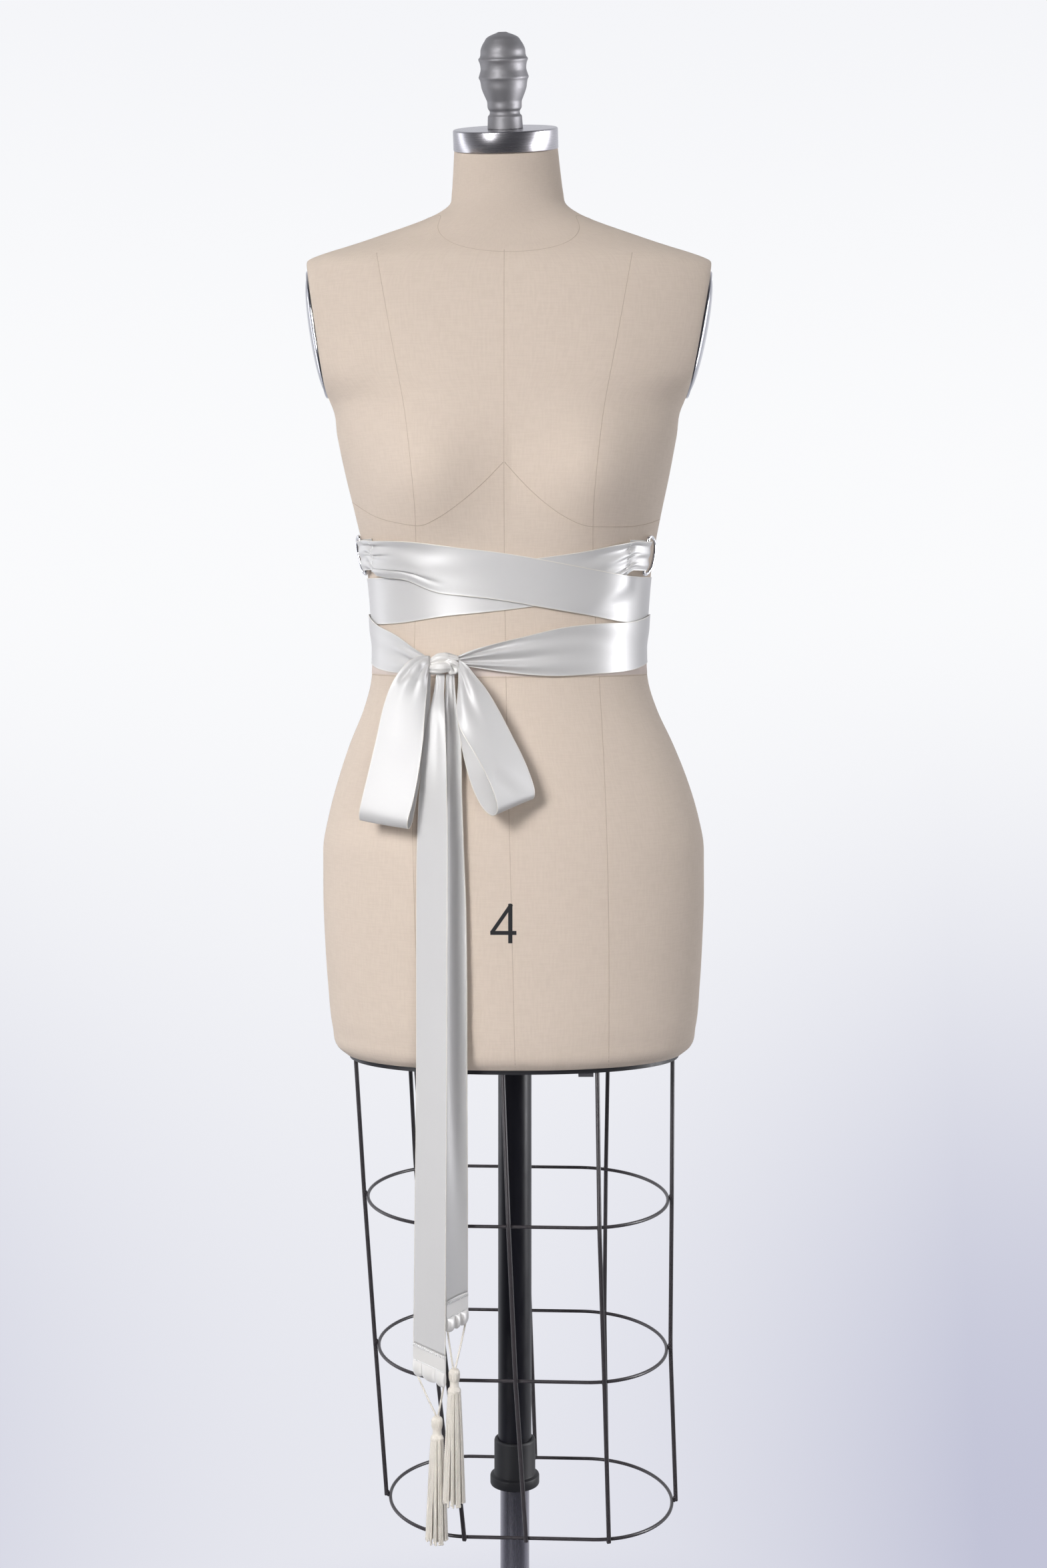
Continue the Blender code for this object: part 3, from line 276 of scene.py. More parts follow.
CREASES_REAR_TAIL = [
    (0, 16, 60, 18, -1.6, 3.4, -2),
    (0, 26, 84, 29, 2.0, 4.2, 2),
    (4, 35, 64, 35, -1.2, 3.0, 0),
    (90, 22, 300, 26, 0.6, 8.0, 0),
]

# Strips of the bow: a place on each of the ribbon's two selvedges, and how far its middle is cupped
LEFT_LOOP = [
    (-69.3, -96, 1055.5, -69.3, -97, 1047, 0.5),
    (-77, -101, 1056.5, -70.2, -103, 1042.5, 2),
    (-87.5, -105, 1050.5, -70.8, -108, 1035, 3),
    (-99.5, -107, 1035, -71.2, -112, 1024, 3),
    (-107.5, -108, 1015, -72.5, -115, 1008, 2.5),
    (-113.6, -109, 988, -74.1, -119, 982.5, 1.5),
    (-120.6, -110, 958, -78.1, -122, 954, 1),
    (-126.2, -110.5, 935, -82.6, -124, 931, 1),
    (-129, -109.5, 920.5, -87, -124, 914.5, 1),
    (-128, -104.5, 914.5, -86.5, -119, 908.5, 0.5),
    (-125.5, -98.5, 919.5, -83.5, -112.5, 914, 0),
    (-122, -96.5, 935, -80.5, -108.5, 931, 0),
    (-114, -96.5, 964, -74.5, -106, 964, 0),
    (-104, -97, 996, -69.8, -103.5, 999, 0.5),
    (-90, -95, 1024, -68.4, -99.5, 1026, 1),
    (-76, -91, 1042, -68.6, -95, 1041, 0.5),
    (-70.5, -88, 1050, -69.3, -91.5, 1043.5, 0.3),
]
RIGHT_LOOP = [
    (-44.8, -99, 1046.5, -44.2, -99, 1052.5, 0.5),
    (-44.2, -106, 1035, -38, -103, 1049, 2),
    (-44.8, -111, 1025, -31, -106, 1040, 3),
    (-45.8, -117, 1009, -21.5, -109, 1029, 4),
    (-43.5, -123, 997, -11, -112, 1012, 3.5),
    (-36.6, -129, 985, 0, -115, 991, 2),
    (-27.3, -134, 970, 10.4, -118, 970.5, 1),
    (-18, -137.5, 952, 17.3, -120, 953, 0.5),
    (-12, -139.5, 936, 20.5, -121, 941, 0.5),
    (-10.3, -138, 925.5, 19.5, -119, 935, 0),
    (-14.8, -132, 921.5, 16, -113.5, 934.5, 0),
    (-21.8, -126.5, 926, 10, -111, 940, 0),
    (-29.8, -121.5, 939, 2, -109.5, 951, 0),
    (-36.8, -115.5, 958.5, -7, -108, 971, 0),
    (-42.3, -109, 981.5, -17, -104.5, 994, 0.5),
    (-45.5, -104, 1006, -29.5, -99.5, 1018, 1),
    (-44.8, -102, 1024, -38, -97, 1034, 0.5),
    (-44.2, -98, 1039, -41.5, -95, 1045, 0.3),
]
FRONT_TAIL = [
    (-63.5, -96, 1041.2, -56.5, -96.5, 1040, 0.2),
    (-65.3, -99, 1025, -57, -102, 1025, 1.5),
    (-68.6, -105, 1011, -56.3, -110, 1011, 1.5),
    (-72.8, -107, 985, -54.8, -118, 985, 1.2),
    (-75.3, -108, 964, -54, -122.5, 964, 1),
    (-77.3, -107, 943, -53.6, -126, 943, 0.8),
    (-79.5, -104.5, 900, -52.9, -130, 900, 0.5),
    (-80.3, -103, 830, -53.1, -131, 830, 0),
    (-80.5, -102, 700, -53.4, -131, 700, 0),
    (-82, -101, 560, -54.2, -130.5, 560, 0),
    (-82.8, -101, 471.3, -54.7, -130.5, 469.3, 0),
]
REAR_TAIL = [
    (-55.4, -96.5, 1040, -48.4, -96, 1042, -0.2),
    (-55.8, -96.5, 1024, -47.5, -95, 1025, -1),
    (-55, -98, 1010, -46, -95.5, 1011, -1.5),
    (-54.6, -104, 985, -42.5, -101, 985, -2),
    (-56, -112.5, 943, -41.5, -108, 943, -3),
    (-58.3, -118.5, 900, -40, -111.5, 900, -4),
    (-58.5, -120.5, 830, -37.5, -111.5, 830, -5),
    (-58.2, -121.5, 700, -36.8, -107.5, 700, -5),
    (-56, -125, 600, -36.6, -105, 600, -3),
    (-54.2, -127, 513.2, -36.8, -102.5, 514.4, -1),
]
STRIP_STEP = 2.0
STRIP_SOFTENING = 7           # passes
REAR_TUCK = 12.0              # of the rear tail's width, turned back behind the front tail
TUCK_WAY = np.array([-0.70, 0.714, 0.0])
TUCK_EASE = (12.0, 50.0, 14.0, 70.0)   # start and reach at the knot, the same at the hem

KNOT_CENTRE = (-57.0, -94.0, 1048.4)
KNOT_RADII = (9.8, 4.6, 6.4)
KNOT_ROLLS = {       # folds of cloth as rounded rolls: x, y, z, radius
    "front": [(-70, -92, 1043.6, 3.6), (-66.2, -97.4, 1044.6, 4.5), (-61, -100.4, 1045.3, 4.8),
              (-56, -100.6, 1045.8, 4.4), (-52.4, -97.6, 1045.6, 3.6)],
    "over": [(-70, -91, 1046.5, 2.2), (-67, -96.4, 1050.8, 2.4), (-61.5, -98.4, 1053.9, 2.7),
             (-54, -98, 1054.4, 2.7), (-46.5, -94.5, 1053, 2.0)],
    "under": [(-68, -90, 1052.2, 1.6), (-62, -93, 1056.2, 1.7), (-55, -93.4, 1056.9, 1.6),
              (-47, -91, 1054.8, 1.4)],
    "curl": [(-54.6, -98.6, 1050.4, 1.7), (-50.8, -101, 1051, 2.0), (-46.6, -101, 1049.4, 2.1),
             (-44.9, -99.8, 1045.6, 2.0), (-47, -99, 1041.9, 1.9), (-51.4, -99.4, 1041.2, 1.7)],
    "lip": [(-54.4, -99.2, 1049, 1.3), (-51.8, -101.6, 1046.6, 1.5), (-50, -101, 1043.6, 1.2)],
}
KNOT_WRINKLES = (0.26, 7.0, 0.16)      # height, how many round a roll, turn per millimetre along it
KNOT_BLEND = 0.28
KNOT_RAYS = (110, 150)        # from end to end, and round
KNOT_SEARCH = (3.0, 20.0, 0.7)         # nearest and farthest place, and step
KNOT_HALVINGS = 6

# Hems: the two ends of the hem line, and the drop below it
HEMS = {
    "front": (-82.8, -101, 470.8, -54.7, -130.5, 468.8, 27),
    "rear": (-54.2, -127, 512.7, -36.8, -102.5, 513.9, 26),
}
HEM_FLAT_SHARE = 0.52
HEM_FLAT_THICKNESS = 1.4
HEM_PUFF_THICKNESS = 6.5
HEM_EDGE_THICKNESS = 0.5
HEM_PUFFS = 3
HEM_SCALLOP = 2.2
HEM_LEAST_FULLNESS = 0.35
HEM_STITCHING = ((0.04, 1.2, 15), (0.5, 0.35, 22))      # share down the hem, swing, stitches

TASSELS = {          # x, y, top, bottom
    "front": (-62.4, -112.5, 412.5, 305),
    "rear": (-47.4, -125.5, 457.5, 342),
}
TASSEL_PROFILE = [   # depth below the top, radius
    (0, 0.5), (0.7, 2.6), (2.2, 4.1), (4.6, 4.7), (7.5, 4.65), (10, 4.15), (11.6, 3.75), (14.2, 3.7),
    (15.8, 3.9), (17.2, 4.7), (19.2, 5.5), (20.4, 5.4), (21, 4.4), (21.2, 1.0),
]
TASSEL_BINDING = (10.2, 15.6, 1.2)     # depth of its start and its end, and how fast both ease
TASSEL_THREAD = (0.9, 0.16)   # pitch and height of the binding's thread
TASSEL_RIBS = (22, 0.25, 0.2)          # ribs round the head, turn per millimetre down it, height
TASSEL_ROOT = 17.5            # depth of the strands' roots
STRAND_RINGS = [     # strands in the ring, radius at the root, radius at the tip
    (7, 1.2, 2.8), (15, 2.8, 6.0), (25, 4.3, 9.1),
]
STRAND_RADIUS = 0.86
STRAND_TWIST = 3.6            # length of one turn of the twist, of the cords too
CORD_RADIUS = 0.8
CORD_TWIST_DEPTH = 0.26       # swell of the two strands, as a share of the radius
STRAND_TWIST_DEPTH = 0.24
CORD_SAG = 4.0
CORD_INSET = 1.4
CORD_IN_HEM = 3.0
CORD_IN_HEAD = 6.0

HOOP_WIRE = 1.5
STRUT_WIRE = 1.9
CAGE_CENTRE_Y = 4.0
CAGE_STRAIGHT = 0.42
CAGE_TURN = 0.05
CAGE_MIDDLE_X = 10.0
WELD = (3.0, 1.35, 1.4)       # half length, radius, and how far inside the strut it sits
HOOPS = {            # z, centre_x, half_width, half_depth
    "top": (567.5, 5.4, 134.7, 99.3),
    "middle": (433.5, 9.7, 129.2, 93.6),
    "bottom": (296.7, 17.3, 126.4, 88.3),
}
STRUTS = {           # face, then x where it meets the board and the top, middle and bottom hoops
    "front": ("front", -7, -2, 4, 13),
    "front_right": ("front", 74.5, 75.5, 80, 84),
    "back_right": ("back", 90, 88.5, 87, 89),
    "back": ("back", 6, 12, 17, 22),
    "back_left": ("back", -96, -91, -77, -62),
    "front_left": ("front", -82, -70, -54, -40),
}
SIDE_STRUTS = {"right": (1, 145), "left": (-1, -140.5)}
STRUT_SPARE = 0.1
STRUT_INSET = 3.0
BOARD_THICKNESS = 4.0
BOARD_INSET = 4.0

FINIAL_PROFILE = [   # height above the cap, radius
    (0, 15.8), (7.7, 15.4), (10.6, 15.2), (12, 13.8), (14.4, 13.4), (17.3, 15), (24, 15.7), (25.4, 16.3),
    (34.6, 19.9), (42.2, 21.4), (44.2, 22.3), (46.6, 21.6), (51.8, 20.3), (56.6, 20.9), (60, 22.1),
    (61.9, 20.7), (69.1, 19.5), (74.9, 16.5), (79.7, 12.1), (82.6, 4.7), (83.4, 2.4), (83.6, 0.6),
]
CAP_RADIUS = 47.0
CAP_HEIGHT = 18.5
CAP_ROUNDING = 1.6
ARM_PLATE_Z = 1342.0
ARM_PLATE_Y = 3.0
ARM_PLATE_HALF_HEIGHT = 57.0
ARM_PLATE_HALF_DEPTH = 41.0
ARM_PLATE_BULGE = 8.5
ARM_PLATE_EDGE = 2.0
ARM_PLATE_RIM = [(1, 0), (1, 0.7), (0.985, 1), (0.93, 1), (0.92, 0.55)]      # shares of the size and the edge
TUBE_BORE = 13.35
TUBE_NECK = 15.0              # radius of the tube below its plug
COLLAR_BORE = 15.39
BASE_BORE = 13.39

# Seams of the form: (z, x) down its front, and (x, z) under each breast
SEAM_FOOT = 703
SEAM_TOPS = {"front": 1409, "back": 1449}
SIDE_SEAMS = ((SEAM_FOOT, 1281, 120), (1401, 1446, 40))      # below and above a plate: from, to, points
SIDE_SEAM_ANGLE = 89.0
PRINCESS_BACK = 0.82          # how far apart those of the back are, as a share of the front's
CENTRE_SEAM = [(1409, -6), (1215, -5.9), (1038, -4.3), (860, 0), (703, 3.7)]
PRINCESS_SEAM = [
    (1408, 112), (1335, 98.5), (1250, 83), (1167, 76), (1100, 77.5), (1033, 80.8), (860, 83), (703, 80.4),
]
BUST_SEAMS = [
    [(-144, 1192), (-118, 1176), (-96, 1169.5), (-79, 1167), (-62, 1173.5), (-45, 1185), (-24, 1203),
     (-6.6, 1221)],
    [(-5.2, 1221), (10, 1204), (27, 1188), (46, 1174.5), (69, 1166.5), (100, 1167), (126, 1172.6),
     (141, 1180)],
]
WAIST_Z = 1037.0
SEAM_RADIUS = 0.32
NECK_SEAM = (1407.0, 37.0, 56.0)      # height at the front, rise to the back, angle it rises over
WAIST_TAPE = (1038.0, 1050.0)
TAPE_HEIGHTS = (0.42, 0.05)   # of its outside and its inside over the form
INK_HEIGHTS = (0.22, 0.03)
NUMERAL = [          # strokes of the plain figure 4: x1, z1, x2, z2, width
    (-16.4, 820.4, 0.6, 845.0, 3.2),
    (-17.4, 820.6, 4.8, 820.6, 3.4),
    (-0.4, 845.4, -0.4, 811.8, 3.6),
]


def column(table, names, name):
    """One named column of a table, as an array."""
    return np.array([row[names.index(name)] for row in table], float)


def smooth(at, known, values):
    """Cubic curve through the known places, with slopes held down so that it doesn't overshoot."""
    order = np.argsort(known)
    known, values = np.asarray(known, float)[order], np.asarray(values, float)[order]
    step = np.diff(known)
    rise = np.diff(values) / step
    slope = np.empty_like(values)
    slope[0], slope[-1] = rise[0], rise[-1]
    mean = (rise[:-1] * step[1:] + rise[1:] * step[:-1]) / (step[:-1] + step[1:])
    limit = 3 * np.minimum(np.abs(rise[:-1]), np.abs(rise[1:]))
    slope[1:-1] = np.where(rise[:-1] * rise[1:] > 0, np.clip(mean, -limit, limit), 0)
    at = np.clip(at, known[0], known[-1])
    i = np.clip(np.searchsorted(known, at, side="right") - 1, 0, len(step) - 1)
    t = (at - known[i]) / step[i]
    return (values[i] * (1 + 2 * t) * (1 - t) ** 2 + slope[i] * step[i] * t * (1 - t) ** 2
            + values[i + 1] * t * t * (3 - 2 * t) + slope[i + 1] * step[i] * t * t * (t - 1))


def smoothstep(t):
    """0 below 0, 1 above 1, and an easy curve between."""
    t = np.clip(t, 0, 1)
    return t * t * (3 - 2 * t)


def unit(vectors):
    """Vectors of length 1."""
    return vectors / np.maximum(np.linalg.norm(vectors, axis=-1, keepdims=True), 1e-9)


def full_turn(count):
    """Angles round a ring, in radians."""
    return np.linspace(0, 2 * math.pi, count, endpoint=False)


def run_along(points):
    """Distance along a line of points, from its first."""
    return np.concatenate([[0], np.cumsum(np.linalg.norm(np.diff(points, axis=0), axis=1))])


def curve(at, table):
    """Smooth curve through a table of (place, value)."""
    known = np.array(table, float)
    return smooth(at, known[:, 0], known[:, 1])


def zigzag(count):
    """1, 0, -1, 0 and so on along a line of stitches, four points to a stitch."""
    return np.abs((np.arange(count) / 2) % 2 - 1) * 2 - 1


def form_size(z, name):
    """A column of the form's table at height z, averaged over a few millimetres where the shoulders turn."""
    known, values = column(FORM_SECTIONS, FORM_COLUMNS, "z"), column(FORM_SECTIONS, FORM_COLUMNS, name)
    z = np.asarray(z, float)
    low, rise, high, fall = SHOULDER_TURN
    reach = SHOULDER_ROUNDING * smoothstep((z - low) / rise) * (1 - smoothstep((z - high) / fall))
    return sum(weight * smooth(z + share * reach, known, values) for share, weight in AVERAGING)


def armhole_flat(z):
    """Half width of the form at the flats of its armholes."""
    return ARMHOLE_TOP[1] - (ARMHOLE_TOP[0] - z) * ARMHOLE_SLOPE


def form_point(angle, z):
    """Point on the form: a superellipse with its own front and back depth, flattened at the armholes by
    a smooth minimum, with two soft mounds for the bust and a neck sheared forward above the shoulders."""
    angle, z = np.broadcast_arrays(np.radians(angle), np.asarray(z, float))
    side, front = np.sin(angle), np.cos(angle)
    power = 2 / form_size(z, "roundness")
    out = form_size(z, "half_width") * np.abs(side) ** power
    depth = np.where(front > 0, form_size(z, "front"), form_size(z, "back"))
    y = -np.sign(front) * depth * np.abs(front) ** power
    flat = armhole_flat(z)
    share = np.clip(0.5 + 0.5 * (flat - out) / ARMHOLE_ROUNDING, 0, 1)
    held = out * share + flat * (1 - share) - ARMHOLE_ROUNDING * share * (1 - share)
    held = out + (held - out) * smoothstep((z - ARMHOLE_FOOT) / ARMHOLE_FOOT_REACH)
    x = np.sign(side) * held + form_size(z, "centre")
    mound = np.exp(-((np.abs(x) - BUST_CENTRE[0]) / BUST_SPREAD[0]) ** 2
                   - ((z - BUST_CENTRE[1]) / BUST_SPREAD[1]) ** 2)
    y = y - BUST_HEIGHT * mound * smoothstep(front * 2)
    lean = smoothstep((z - NECK_TILT_FROM) / (FORM_TOP - NECK_TILT_FROM))
    rise = (y - NECK_CENTRE[1]) * math.tan(NECK_TILT) + (x - NECK_CENTRE[0]) * math.tan(NECK_SIDE_TILT)
    return np.stack([x, y, z + rise * lean], -1)


def form_normal(angle, z):
    """Outward normal of the form, from its slopes round and up."""
    around = form_point(angle + 0.5, z) - form_point(angle - 0.5, z)
    up = form_point(angle, z + 1.0) - form_point(angle, z - 1.0)
    return unit(np.cross(around, up))


def form_angle(x, z, back=False):
    """Angle on the form at which its surface lies at x, at height z."""
    share = np.clip(np.abs(x - form_size(z, "centre")) / form_size(z, "half_width"), 0, 1)
    turn = np.degrees(np.arcsin(share ** (form_size(z, "roundness") / 2)))
    return np.sign(x - form_size(z, "centre")) * (180 - turn if back else turn)


def skin(name, grids, finish, nodes=(), loop=False, u=None, body="form", at_form=True, sharp=180.0):
    """A surface in place of the nodes, over grids of points (rows, columns, 3). Each is closed round its
    columns and, if loop, along its rows; without loop, flat faces lie over its first and last rows. UV is the
    distance across and along, in metres. Faces are turned outwards by the sign of the volume they enclose."""
    points, faces, spots = [], [], []
    start = 0
    for grid in grids:
        rows, columns = grid.shape[:2]
        r, c = np.meshgrid(np.arange(rows if loop else rows - 1), np.arange(columns), indexing="ij")
        corner = np.stack([r, c, r, c + 1, r + 1, c + 1, r + 1, c], -1).reshape(-1, 4, 2)
        index = (corner[..., 0] % rows) * columns + corner[..., 1] % columns
        flat = grid.reshape(-1, 3)
        a, b, d, e = (flat[index[:, i]] for i in range(4))
        outward = (np.cross(a, b) * d).sum() + (np.cross(a, d) * e).sum() >= 0
        along = run_along((np.concatenate([grid, grid[:1]]) if loop else grid)[:, columns // 4])
        around = run_along(np.concatenate([grid, grid[:, :1]], axis=1)[rows // 2]) if u is None else u
        spot = np.stack([around[corner[..., 1]], along[corner[..., 0]]], -1)
        ring = np.arange(columns)
        ends = [] if loop else [ring[::-1], ring + (rows - 1) * columns]
        if not outward:
            index, spot, ends = index[:, ::-1], spot[:, ::-1], [end[::-1] for end in ends]
        points.append(flat)
        faces += (index + start).tolist() + [(end + start).tolist() for end in ends]
        spots.append(spot.reshape(-1, 2))
        spots += [np.stack([around[end % columns], np.full(columns, along[end[0] // columns])], -1)
                  for end in ends]
        start += len(flat)
    place = np.concatenate(points) + ((FORM_X, 0, 0) if at_form else (0, 0, 0))
    mesh = bpy.data.meshes.new(name)
    mesh.from_pydata((place * MM).tolist(), [], faces)
    layer = mesh.uv_layers.new(name="cloth")
    layer.uv.foreach_set("vector", (np.concatenate(spots) * MM).astype(np.float32).ravel())
    mesh.shade_smooth()
    if sharp < 180:
        mesh.set_sharp_from_angle(angle=math.radians(sharp))
    mesh.materials.append(FINISH[finish][0])
    made = bpy.data.objects.new(name, mesh)
    bpy.context.scene.collection.objects.link(made)
    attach(made, body)
    if nodes:
        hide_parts(*nodes)
    return made


def tube(points, radius, sides=12, closed=False, upright=(0, 0, 1), lobes=0, depth=0.0, twist=1.0):
    """Rings round a line, each square to it. The radius may vary along the line, and with lobes it swells and
    shrinks round the ring as radius * (1 + depth * cos(lobes * (turn - 2 pi distance / twist)))."""
    points = np.asarray(points, float)
    if closed:
        tangent = np.roll(points, -1, 0) - np.roll(points, 1, 0)
    else:
        tangent = np.gradient(points, axis=0)
    tangent = unit(tangent)
    side = unit(np.cross(tangent, np.array(upright, float)))
    up = np.cross(side, tangent)
    turn = full_turn(sides)[None, :]
    size = np.broadcast_to(np.asarray(radius, float).reshape(-1, 1), (len(points), 1))
    size = size * (1 + depth * np.cos(lobes * (turn - 2 * math.pi * run_along(points)[:, None] / twist)))
    return (points[:, None] + size[..., None] * (side[:, None] * np.cos(turn)[..., None]
                                                 + up[:, None] * np.sin(turn)[..., None]))


def along_points(points, step, softening=0):
    """A line of points made dense, about step apart, with its corners softened by averaging neighbours."""
    points = np.asarray(points, float)
    run = run_along(points)
    at = np.linspace(0, run[-1], max(3, int(run[-1] / step) + 1))
    dense = np.stack([np.interp(at, run, points[:, i]) for i in range(3)], -1)
    return soften(dense, softening)


def soften(rows, passes):
    """Averages each row with its neighbours, keeping the two ends."""
    for _ in range(passes):
        rows = np.concatenate([rows[:1], (rows[:-2] + 2 * rows[1:-1] + rows[2:]) / 4, rows[-1:]])
    return rows


def turned(profile, sides=96, step=None):
    """Rings of a profile of (height, radius) turned round Z. If step is set, a smooth curve through the
    profile makes it dense."""
    profile = np.array(profile, float)
    if step:
        height = np.arange(profile[0, 0], profile[-1, 0] + step / 2, step)
        height = np.clip(height, profile[0, 0], profile[-1, 0])
        profile = np.stack([height, curve(height, profile)], -1)
    turn = full_turn(sides)
    height, radius = profile[:, :1], profile[:, 1:]
    return np.stack([radius * np.cos(turn), radius * np.sin(turn), height + 0 * turn], -1)


def surface_normals(grid):
    """Unit normals of a grid of points, from its slopes both ways."""
    return unit(np.cross(np.gradient(grid, axis=0), np.gradient(grid, axis=1)))


def creased(along, across, table):
    """Height of the cloth's creases. Each is a bell across its line, bowed sideways by its bend. It rises
    over the first tenth of its length, gets 1.9 times as wide, and eases away over its last two thirds."""
    total = np.zeros(np.broadcast(along, across).shape)
    for a1, b1, a2, b2, height, width, bend in table:
        run = math.hypot(a2 - a1, b2 - b1)
        one, two = (a2 - a1) / run, (b2 - b1) / run
        share = ((along - a1) * one + (across - b1) * two) / run
        held = np.clip(share, 0, 1)
        off = (across - b1) * one - (along - a1) * two - bend * 4 * held * (1 - held)
        total += (height * np.exp(-(off / (width * (1 + 0.9 * held))) ** 2) * smoothstep(share / 0.1)
                  * smoothstep((1 - share) / 0.66))
    return total


def ribbon(name, grid, nodes):
    """A satin ribbon round the middle surface in grid: half its thickness to each side, and thicker along
    both selvedges, where exp(-(distance from the edge / reach)^2) is near 1."""
    edge = np.minimum(ACROSS, 1 - ACROSS) * RIBBON_WIDTH
    thick = SATIN_HALF + SELVEDGE_HALF * np.exp(-(edge / SELVEDGE_REACH) ** 2)
    out = surface_normals(grid) * thick[None, :, None]
    section = np.concatenate([grid + out, (grid - out)[:, ::-1]], axis=1)
    u = np.concatenate([ACROSS, ACROSS[::-1], [0]]) * RIBBON_WIDTH
    return skin(name, [section], "satin", nodes, u=u)


def row_run(grid):
    """Distance along the middle of a ribbon's grid, from its first row."""
    return run_along(grid[:, grid.shape[1] // 2])


def band_edge(table, name, angle):
    """Height of a sash's edge, or its lift or pleat, at an angle along it."""
    return smooth(angle, column(table, BAND_COLUMNS, "angle"), column(table, BAND_COLUMNS, name))


def a_over_b(along_b):
    """1 where sash A lies over B, going by the angle along B, 0 where B lies over A."""
    return smoothstep((along_b - B_GOES_OVER) / B_GOES_OVER_WITHIN + 0.5)


def lift_over(lower, weight, angle, z):
    """Height of one layer over a lower sash at this place, eased down beyond that sash's edges and end."""
    best = np.zeros(np.broadcast(angle, z).shape)
    known = column(lower, BAND_COLUMNS, "angle")
    for turn in (-720, -360, 0, 360, 720):
        along = np.asarray(angle) + turn
        beyond = np.maximum(known.min() - along, along - known.max())
        top, bottom = band_edge(lower, "top", along), band_edge(lower, "bottom", along)
        past = np.abs(z - (top + bottom) / 2) - (top - bottom) / 2
        ease = 1 - smoothstep((past - DRAPE[0]) / (DRAPE[1] - DRAPE[0]))
        high = LAYER + band_edge(lower, "lift", along) + band_edge(lower, "pleat", along)
        ease = ease * (1 - smoothstep((beyond - END_DRAPE[0]) / (END_DRAPE[1] - END_DRAPE[0])))
        best = np.maximum(best, ease * high * weight(along))
    return best


def gathers(t):
    """Pleats across a gathered ribbon, from 0 to 1."""
    return 0.5 - 0.5 * np.cos(2 * math.pi * PLEATS_ACROSS * t)


def end_frame(bar_angle, top, bottom):
    """Centre of a metal loop's bar, and its directions out of the form, up, and away from the sash."""
    middle = (top + bottom) / 2
    out = form_normal(bar_angle, middle)
    off = GAP + FOLD_RADIUS + CLOTH / 2 + FOLD_SPARE
    up = unit(form_point(bar_angle, middle + 5) - form_point(bar_angle, middle - 5))
    side = unit(np.cross(up, out))
    side = side * math.copysign(1, side[0] * bar_angle)
    return form_point(bar_angle, middle) + out * off, off, up, side


def end_rows(stitch_angle, bar_angle, top, bottom):
    """The folded end of a sash from its cut edge: under the loop's bar, round it, back to the stitches."""
    _, bar_off, _, side = end_frame(bar_angle, top, bottom)
    z = bottom + (top - bottom) * ACROSS
    ripple = gathers(ACROSS)
    rows = [form_point(a, z) + form_normal(a, z) * (GAP + CLOTH / 2)
            for a in np.linspace(stitch_angle, bar_angle, UNDER_ROWS + 1)[:-1]]
    foot, normal = form_point(bar_angle, z), form_normal(bar_angle, z)
    away, out = BAR_RIPPLE
    for a in np.radians(np.linspace(-90, 90, ROUND_ROWS)):
        reach = side * math.cos(a) * (FOLD_RADIUS + away * ripple[:, None])
        rise = bar_off + math.sin(a) * FOLD_RADIUS + out * ripple * smoothstep((a + 1) / 2)
        rows.append(foot + normal * rise[:, None] + reach)
    stitched = GAP * 2 + CLOTH * 1.5
    for share in np.linspace(0, 1, UNDER_ROWS + 2)[1:-1]:
        angle = bar_angle + (stitch_angle - bar_angle) * share
        lift = bar_off + FOLD_RADIUS + (stitched - bar_off - FOLD_RADIUS) * share
        lift = lift + (out + (END_RIPPLE - out) * share) * ripple
        rows.append(form_point(angle, z) + form_normal(angle, z) * lift[:, None])
    return np.array(rows)


def sash(name, table, over, end, start_creases, start_folds, knot_creases):
    """One sash from its folded end to the knot. A point is the form's point at that angle and height, moved
    out by the gap, the layer under it, its lift, its pleats and its creases, and down by its folds."""
    known = column(table, BAND_COLUMNS, "angle")
    count = int(abs(known[-1] - known[0]) / BAND_STEP)
    angle, t = np.meshgrid(np.linspace(known[0], known[-1], count), ACROSS, indexing="ij")
    bottom, top = band_edge(table, "bottom", angle), band_edge(table, "top", angle)
    z = bottom + (top - bottom) * t
    pleat = band_edge(table, "pleat", angle) * gathers(t)
    off = GAP + CLOTH / 2 + over(angle, z) + band_edge(table, "lift", angle) + pleat
    base, normal = form_point(angle, z), form_normal(angle, z)
    folded = end_rows(*SASH_ENDS[end])
    first, under = len(folded), UNDER_ROWS + 1
    grid = np.concatenate([folded, soften(base + normal * off[..., None], BAND_SOFTENING)])
    run = row_run(grid)
    from_stitch = (run - run[first])[:, None]
    from_knot = (run[-1] - run)[:, None]
    across = ACROSS * RIBBON_WIDTH
    crease = creased(from_stitch, across, start_creases) + creased(from_knot, across, knot_creases)
    outward = np.concatenate([surface_normals(folded), normal])
    outward[:under] = 0
    straight_out = form_normal(*SASH_ENDS[end][1:3])
    outward[under:first] *= np.sign((outward[under:first] * straight_out).sum(-1, keepdims=True))
    floor = np.concatenate([np.full(folded.shape[:2], -FOLD_DEPTH), -(off - GAP + CREASE_ROOM)])
    down = -unit(np.gradient(grid, axis=1)) * creased(from_stitch, across, start_folds)[..., None]
    down[:HANGING_FROM] = 0
    grid = grid + outward * np.maximum(crease, floor)[..., None] + down
    grid[SOFTENED_FROM:] = soften(grid[SOFTENED_FROM:], 3)
    nodes = [f"{name}_{part}" for part in ("front", "back", "waist")] + [f"sash_end_{end}"]
    ribbon(f"{name}_satin", grid, nodes)
    stitching(f"stitching_{end}", grid, first + 0.5)


